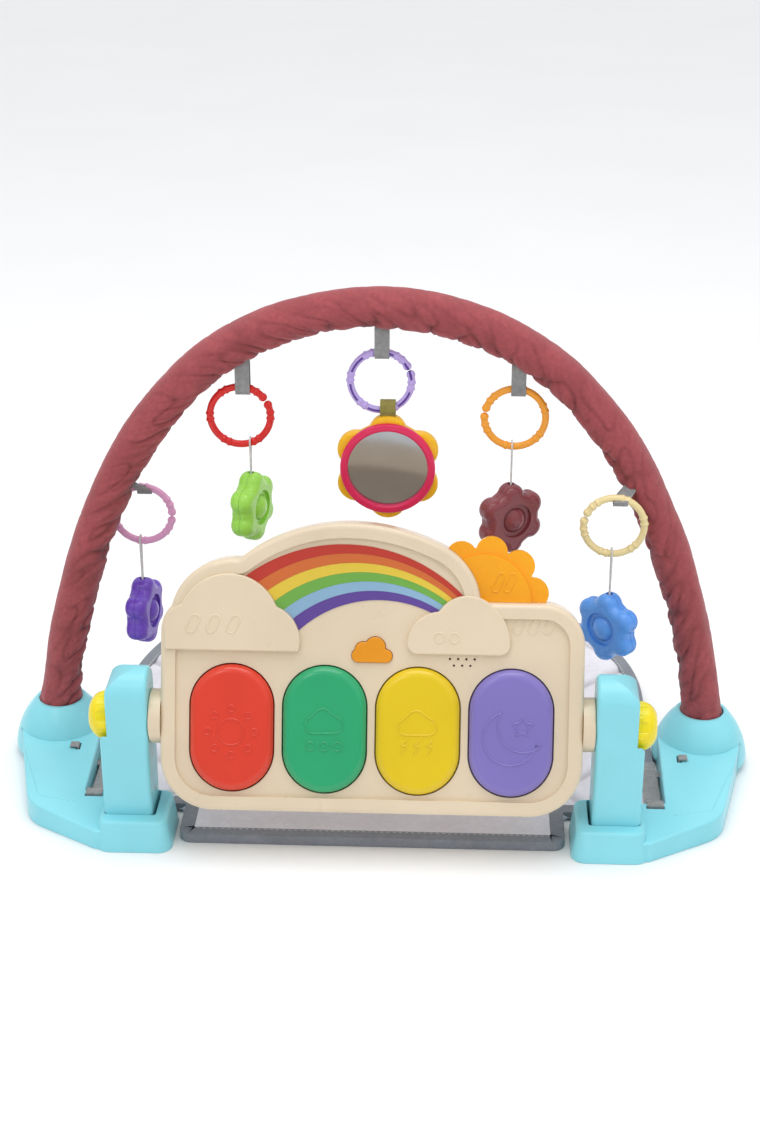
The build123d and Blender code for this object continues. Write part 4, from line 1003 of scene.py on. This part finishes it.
def bow_inner(x, inside):
    """The height at x of a line that runs inside the bow's middle line."""
    turn, crown = radians(BOW_ARCS[0][0]), BOW_ARCS[0][1]
    shoulder = BOW_ARCS[1][1]
    if abs(x) <= (crown - inside) * sin(turn):
        return BOW_CROWN - crown + sqrt((crown - inside) ** 2 - x**2)
    middle_x = (crown - shoulder) * sin(turn)
    middle_z = BOW_CROWN - crown + (crown - shoulder) * cos(turn)
    return middle_z + sqrt((shoulder - inside) ** 2 - (abs(x) - middle_x) ** 2)


class GYM_OT_webbing(bpy.types.Operator):
    """Makes the ring loops, the mat's straps and the mirror's ribbon"""

    bl_idname = "gym.webbing"
    bl_label = "Webbing"

    def execute(self, context):
        thick = sizes().webbing_thickness
        mesh = bmesh.new()
        uv = mesh.loops.layers.uv.new("cloth")
        bend = LOOP_BEND
        for x, beside, z, loop_x, _ in RINGS.values():
            y = BOW_Y + beside
            low = z + sqrt(RING_RADIUS**2 - (loop_x + LOOP_WIDTH / 2) ** 2)
            middle = x + loop_x
            foot = [(middle, p.x, p.y) for p in arc(y, low, bend, 180, 360, 14)]
            if beside:
                side = 1 if beside > 0 else -1
                sewn = (middle - 0.013 * side, BOW_Y + 0.010 * side, low + 0.012)
                points = [sewn, *foot, sewn]
            else:
                high = bow_inner(middle, 0.0160)
                tucked, straight = high + 0.002, high - 0.006
                points = [(middle, y - bend * 0.7, tucked), (middle, y - bend, straight)]
                points += foot
                points += [(middle, y + bend, straight), (middle, y + bend * 0.7, tucked)]
            tape(mesh, LOOP_WIDTH, points, thick, uv)
        finish_piece(mesh, "loop_webbing", "arch", "webbing", ("toy_loops",), smooth=False)

        for node, name, body, slot in (
            ("mat_straps", "strap_webbing", "root", "webbing"),
            ("mirror_tab", "mirror_ribbon", "mirror_toy", "tab_ribbon"),
        ):
            mesh = copy_of(node)
            uv = mesh.loops.layers.uv.new("cloth")
            for face in mesh.faces:
                for loop in face.loops:
                    loop[uv].uv = (loop.vert.co.x, loop.vert.co.y - loop.vert.co.z)
            finish_piece(mesh, name, body, slot, (node,), smooth=False)
        return {"FINISHED"}


# ------------------------------------------------------------------------------- link rings


# Degrees round a link ring: half the way between a pair's bumps, and a bump's half width.
BUMP_APART = 6
BUMP_WIDTH = 2.3
# Half the width of the painted groove shade on the lilac ring's front.
GROOVE_SHADE_HALF = 0.0011


class GYM_OT_rings(bpy.types.Operator):
    """Makes the link rings with their bumps and snap ends"""

    bl_idname = "gym.rings"
    bl_label = "Link rings"

    def execute(self, context):
        s = sizes()
        open_half = SNAP_HALF - SNAP_BULB / RING_RADIUS
        span = 2 * pi - 2 * open_half
        for name, (x, beside, z, loop_x, snap) in RINGS.items():
            mesh = bmesh.new()
            start = Matrix.Translation((RING_RADIUS, 0, 0))
            bmesh.ops.create_circle(mesh, segments=20, radius=RING_BAR, matrix=start)
            bmesh.ops.spin(
                mesh,
                geom=mesh.edges[:],
                cent=(0, 0, 0),
                axis=(0, -1, 0),
                angle=span,
                steps=300,
                use_duplicate=False,
            )
            bmesh.ops.holes_fill(mesh, edges=mesh.edges[:], sides=20)
            groove = []
            bulb_at = SNAP_HALF - open_half
            for vertex in mesh.verts:
                turn = atan2(vertex.co.z, vertex.co.x) % (2 * pi)
                core = RING_RADIUS * Vector((cos(turn), 0, sin(turn)))
                thick = 1.0
                for pair in range(s.bump_pairs):
                    middle = span * (pair + 0.5) / s.bump_pairs
                    for side in (-1, 1):
                        away = degrees(turn - middle) - side * BUMP_APART
                        thick += s.ring_bump / RING_BAR * exp(-((away / BUMP_WIDTH) ** 2))
                from_end = min(turn, span - turn) if turn <= span else 0.0
                past = (from_end - bulb_at) * RING_RADIUS
                ball = sqrt(max(0.0, SNAP_BULB**2 - past**2)) / RING_BAR
                thick = max(ball, thick if past > 0 else 0.03)
                vertex.co = core + (vertex.co - core) * thick
            materials = [finishes()[f"ring_{name}"]]
            # Painted shade: dark violet bands along the middle of the bar's front, between the bump
            # pairs, stand for shaded grooves; the bar is not cut.
            if name == "lilac":
                materials.append(moulded("violet_groove", colours().ring_groove_shade, 0.8))
                for face in mesh.faces:
                    place = face.calc_center_median()
                    turn = atan2(place.z, place.x) % (2 * pi)
                    share = (turn / span * s.bump_pairs) % 1.0
                    side = abs(hypot(place.x, place.z) - RING_RADIUS)
                    if side < GROOVE_SHADE_HALF and (share < 0.30 or share > 0.70) and place.y < 0:
                        face.material_index = 1
            faces_out(mesh)
            move = Matrix.Translation((x, BOW_Y + beside, z))
            turn = Matrix.Rotation(radians(snap) + open_half, 4, (0, -1, 0))
            bmesh.ops.transform(mesh, matrix=move @ turn, verts=mesh.verts[:])
            finish_piece(
                mesh,
                f"link_{name}",
                f"ring_{name}_body",
                f"ring_{name}",
                (f"ring_{name}",),
                materials=materials,
            )
        return {"FINISHED"}


# ------------------------------------------------------------------------------- the panel


# The rainbow's printed bands from the outermost in, and their colours.
BANDS = (
    ("red", 190, 58, 44),
    ("orange", 208, 108, 52),
    ("yellow", 226, 196, 66),
    ("green", 112, 172, 74),
    ("blue", 140, 178, 206),
    ("violet", 96, 70, 150),
)


class GYM_OT_rainbow(bpy.types.Operator):
    """Gives each band of the printed rainbow its own colour"""

    bl_idname = "gym.rainbow"
    bl_label = "Rainbow"

    def execute(self, context):
        mesh = copy_of("rainbow_decal")
        left = set(mesh.faces)
        islands = []
        while left:
            island, edge_faces = set(), [left.pop()]
            while edge_faces:
                face = edge_faces.pop()
                island.add(face)
                for edge in face.edges:
                    for other in edge.link_faces:
                        if other in left:
                            left.remove(other)
                            edge_faces.append(other)
            islands.append(island)
        islands.sort(key=lambda faces: -max(v.co.z for f in faces for v in f.verts))
        materials = [moulded(f"print_{name}", linear(*rgb), 0.45) for name, *rgb in BANDS]
        for index, island in enumerate(islands):
            for face in island:
                face.material_index = min(index, len(materials) - 1)
        finish_piece(
            mesh,
            "rainbow_bands",
            "panel",
            "rainbow_print",
            ("rainbow_decal",),
            smooth=False,
            materials=materials,
        )
        return {"FINISHED"}


def sun_mark(mesh, x, y, size):
    bead(mesh, arc(x, y, 0.0125), size, closed=True)
    for petal in range(8):
        turn = 2 * pi * petal / 8
        bead(mesh, arc(x + 0.022 * cos(turn), y + 0.022 * sin(turn), 0.0032, steps=16), size, True)


def rain_mark(mesh, x, y, size):
    bead(mesh, cloud(x, y + 0.008, 0.036), size, closed=True)
    for drop in (-1, 0, 1):
        bead(mesh, arc(x + 0.013 * drop, y - 0.012, 0.0042, steps=16), size, closed=True)


def storm_mark(mesh, x, y, size):
    bead(mesh, cloud(x, y + 0.008, 0.036), size, closed=True)
    for flash in (-1, 0, 1):
        left = x + 0.012 * flash
        corners = ((left + 0.002, y - 0.004), (left - 0.003, y - 0.010), (left + 0.002, y - 0.010))
        bead(mesh, run((*corners, (left - 0.003, y - 0.018)), 0.001), size)


def night_mark(mesh, x, y, size):
    """A crescent and a star."""
    outer = arc(x - 0.001, y - 0.001, 0.0255, 110, 350, 36)
    inner = arc(x + 0.0115, y + 0.0105, 0.0245, 320, 141, 30)
    bead(mesh, outer + inner[1:-1], size, closed=True)
    corners = []
    for point in range(10):
        reach = 0.0098 if point % 2 == 0 else 0.0052
        turn = radians(90 + 36 * point)
        corners.append((x + 0.0105 + reach * cos(turn), y + 0.010 + reach * sin(turn)))
    bead(mesh, run(corners, 0.0015, closed=True), size, closed=True)


# How deep the raised lines are sunk in, as shares of their radius.
PICTURE_SINK = 0.15
MARK_SINK = 0.3
BASE_MARK_SINK = 0.4


class GYM_OT_marks(bpy.types.Operator):
    """Adds the raised pictures on the keys and the raised lines on the shells"""

    bl_idname = "gym.marks"
    bl_label = "Raised pictures"

    def execute(self, context):
        size = sizes().mark_radius
        for index, (name, draw) in enumerate(
            (
                ("red", sun_mark),
                ("green", rain_mark),
                ("yellow", storm_mark),
                ("purple", night_mark),
            )
        ):
            mesh = bmesh.new()
            draw(mesh, (index - 1.5) * KEY_PITCH, KEY_MIDDLE - 0.003, size)
            settle(mesh, surface_of((f"key_{name}",), PANEL), PANEL, PICTURE_SINK * size)
            faces_out(mesh)
            finish_piece(mesh, f"picture_{name}", f"key_{name}_body", f"key_{name}")

        mesh = bmesh.new()
        for place in (-0.168, -0.149, -0.130):
            bead(mesh, capsule(place, 0.092, 0.0085, 0.018, -28), size, closed=True)
        for place in (0.137, 0.151, 0.165):
            bead(mesh, capsule(place, 0.094, 0.0070, 0.014, -28), size, closed=True)
        for place in (0.063, 0.077):
            bead(mesh, arc(place, 0.083, 0.0048, steps=20), size, closed=True)
        settle(mesh, surface_of(("panel_front",), PANEL), PANEL, MARK_SINK * size)
        faces_out(mesh)
        finish_piece(mesh, "shell_marks", "panel", "cream_plastic")

        mesh = bmesh.new()
        for place in (0.117, 0.128):
            bead(mesh, capsule(place, 0.134, 0.0062, 0.019, -24), size, closed=True)
        settle(mesh, surface_of(("sun_ornament",), PANEL), PANEL, MARK_SINK * size)
        faces_out(mesh)
        finish_piece(mesh, "sun_marks", "panel", "sun_amber")
        return {"FINISHED"}


class GYM_OT_base_marks(bpy.types.Operator):
    """Adds the raised border and the small waves on the bases' tops"""

    bl_idname = "gym.base_marks"
    bl_label = "Base marks"

    def execute(self, context):
        size = sizes().mark_radius
        level = Matrix.Identity(4)
        for side, name in ((-1, "left"), (1, "right")):
            mesh = bmesh.new()
            border = run(((0.361, -0.160), (0.331, -0.240), (0.292, -0.250)), 0.003)
            bead(mesh, [Vector((side * p.x, p.y, 0)) for p in border], size)
            for x, y in ((0.318, -0.172), (0.332, -0.188), (0.316, -0.204), (0.328, -0.222)):
                wave = [
                    Vector((side * (x + 0.001 * (i - 6)), y + 0.0016 * sin(i * 0.9), 0))
                    for i in range(13)
                ]
                bead(mesh, wave, 0.5 * size)
            settle(mesh, surface_of((f"base_{name}",), level), level, BASE_MARK_SINK * size)
            faces_out(mesh)
            finish_piece(mesh, f"base_marks_{name}", "root", "aqua_plastic")
        return {"FINISHED"}


class GYM_OT_plastics(bpy.types.Operator):
    """Gives every carried-over solid the finish of its slot"""

    bl_idname = "gym.plastics"
    bl_label = "Plastics and metal"

    def execute(self, context):
        made = finishes()
        for part in frame["record"]["subparts"]:
            node = frame["nodes"][part["node"]]
            node.data.materials.clear()
            node.data.materials.append(made[part["material_slot"]])
        return {"FINISHED"}


STEPS = (
    GYM_OT_stage,
    GYM_OT_strings,
    GYM_OT_plastics,
    GYM_OT_sleeve,
    GYM_OT_mat,
    GYM_OT_webbing,
    GYM_OT_rings,
    GYM_OT_rainbow,
    GYM_OT_marks,
    GYM_OT_base_marks,
)


class GYM_PT_sidebar(bpy.types.Panel):
    """Lists the gym's pieces, sizes and colours"""

    bl_idname = "GYM_PT_sidebar"
    bl_label = "Play gym"
    bl_space_type = "VIEW_3D"
    bl_region_type = "UI"
    bl_category = "Play gym"

    def draw(self, context):
        column = self.layout.column(align=True)
        for step in STEPS:
            column.operator(step.bl_idname)
        for heading, group in (
            ("Sizes", context.scene.gym_sizes),
            ("Colours", context.scene.gym_colours),
        ):
            box = self.layout.box()
            box.label(text=heading)
            for name in group.__annotations__:
                box.prop(group, name)


CLASSES = (GymSizes, GymColours, *STEPS, GYM_PT_sidebar)


def register():
    for cls in CLASSES:
        bpy.utils.register_class(cls)
    bpy.types.Scene.gym_sizes = PointerProperty(type=GymSizes)
    bpy.types.Scene.gym_colours = PointerProperty(type=GymColours)


def unregister():
    del bpy.types.Scene.gym_colours
    del bpy.types.Scene.gym_sizes
    for cls in reversed(CLASSES):
        bpy.utils.unregister_class(cls)


def main():
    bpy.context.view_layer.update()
    register()
    for step in STEPS:
        group, name = step.bl_idname.split(".")
        getattr(getattr(bpy.ops, group), name)()


if __name__ == "__main__":
    main()
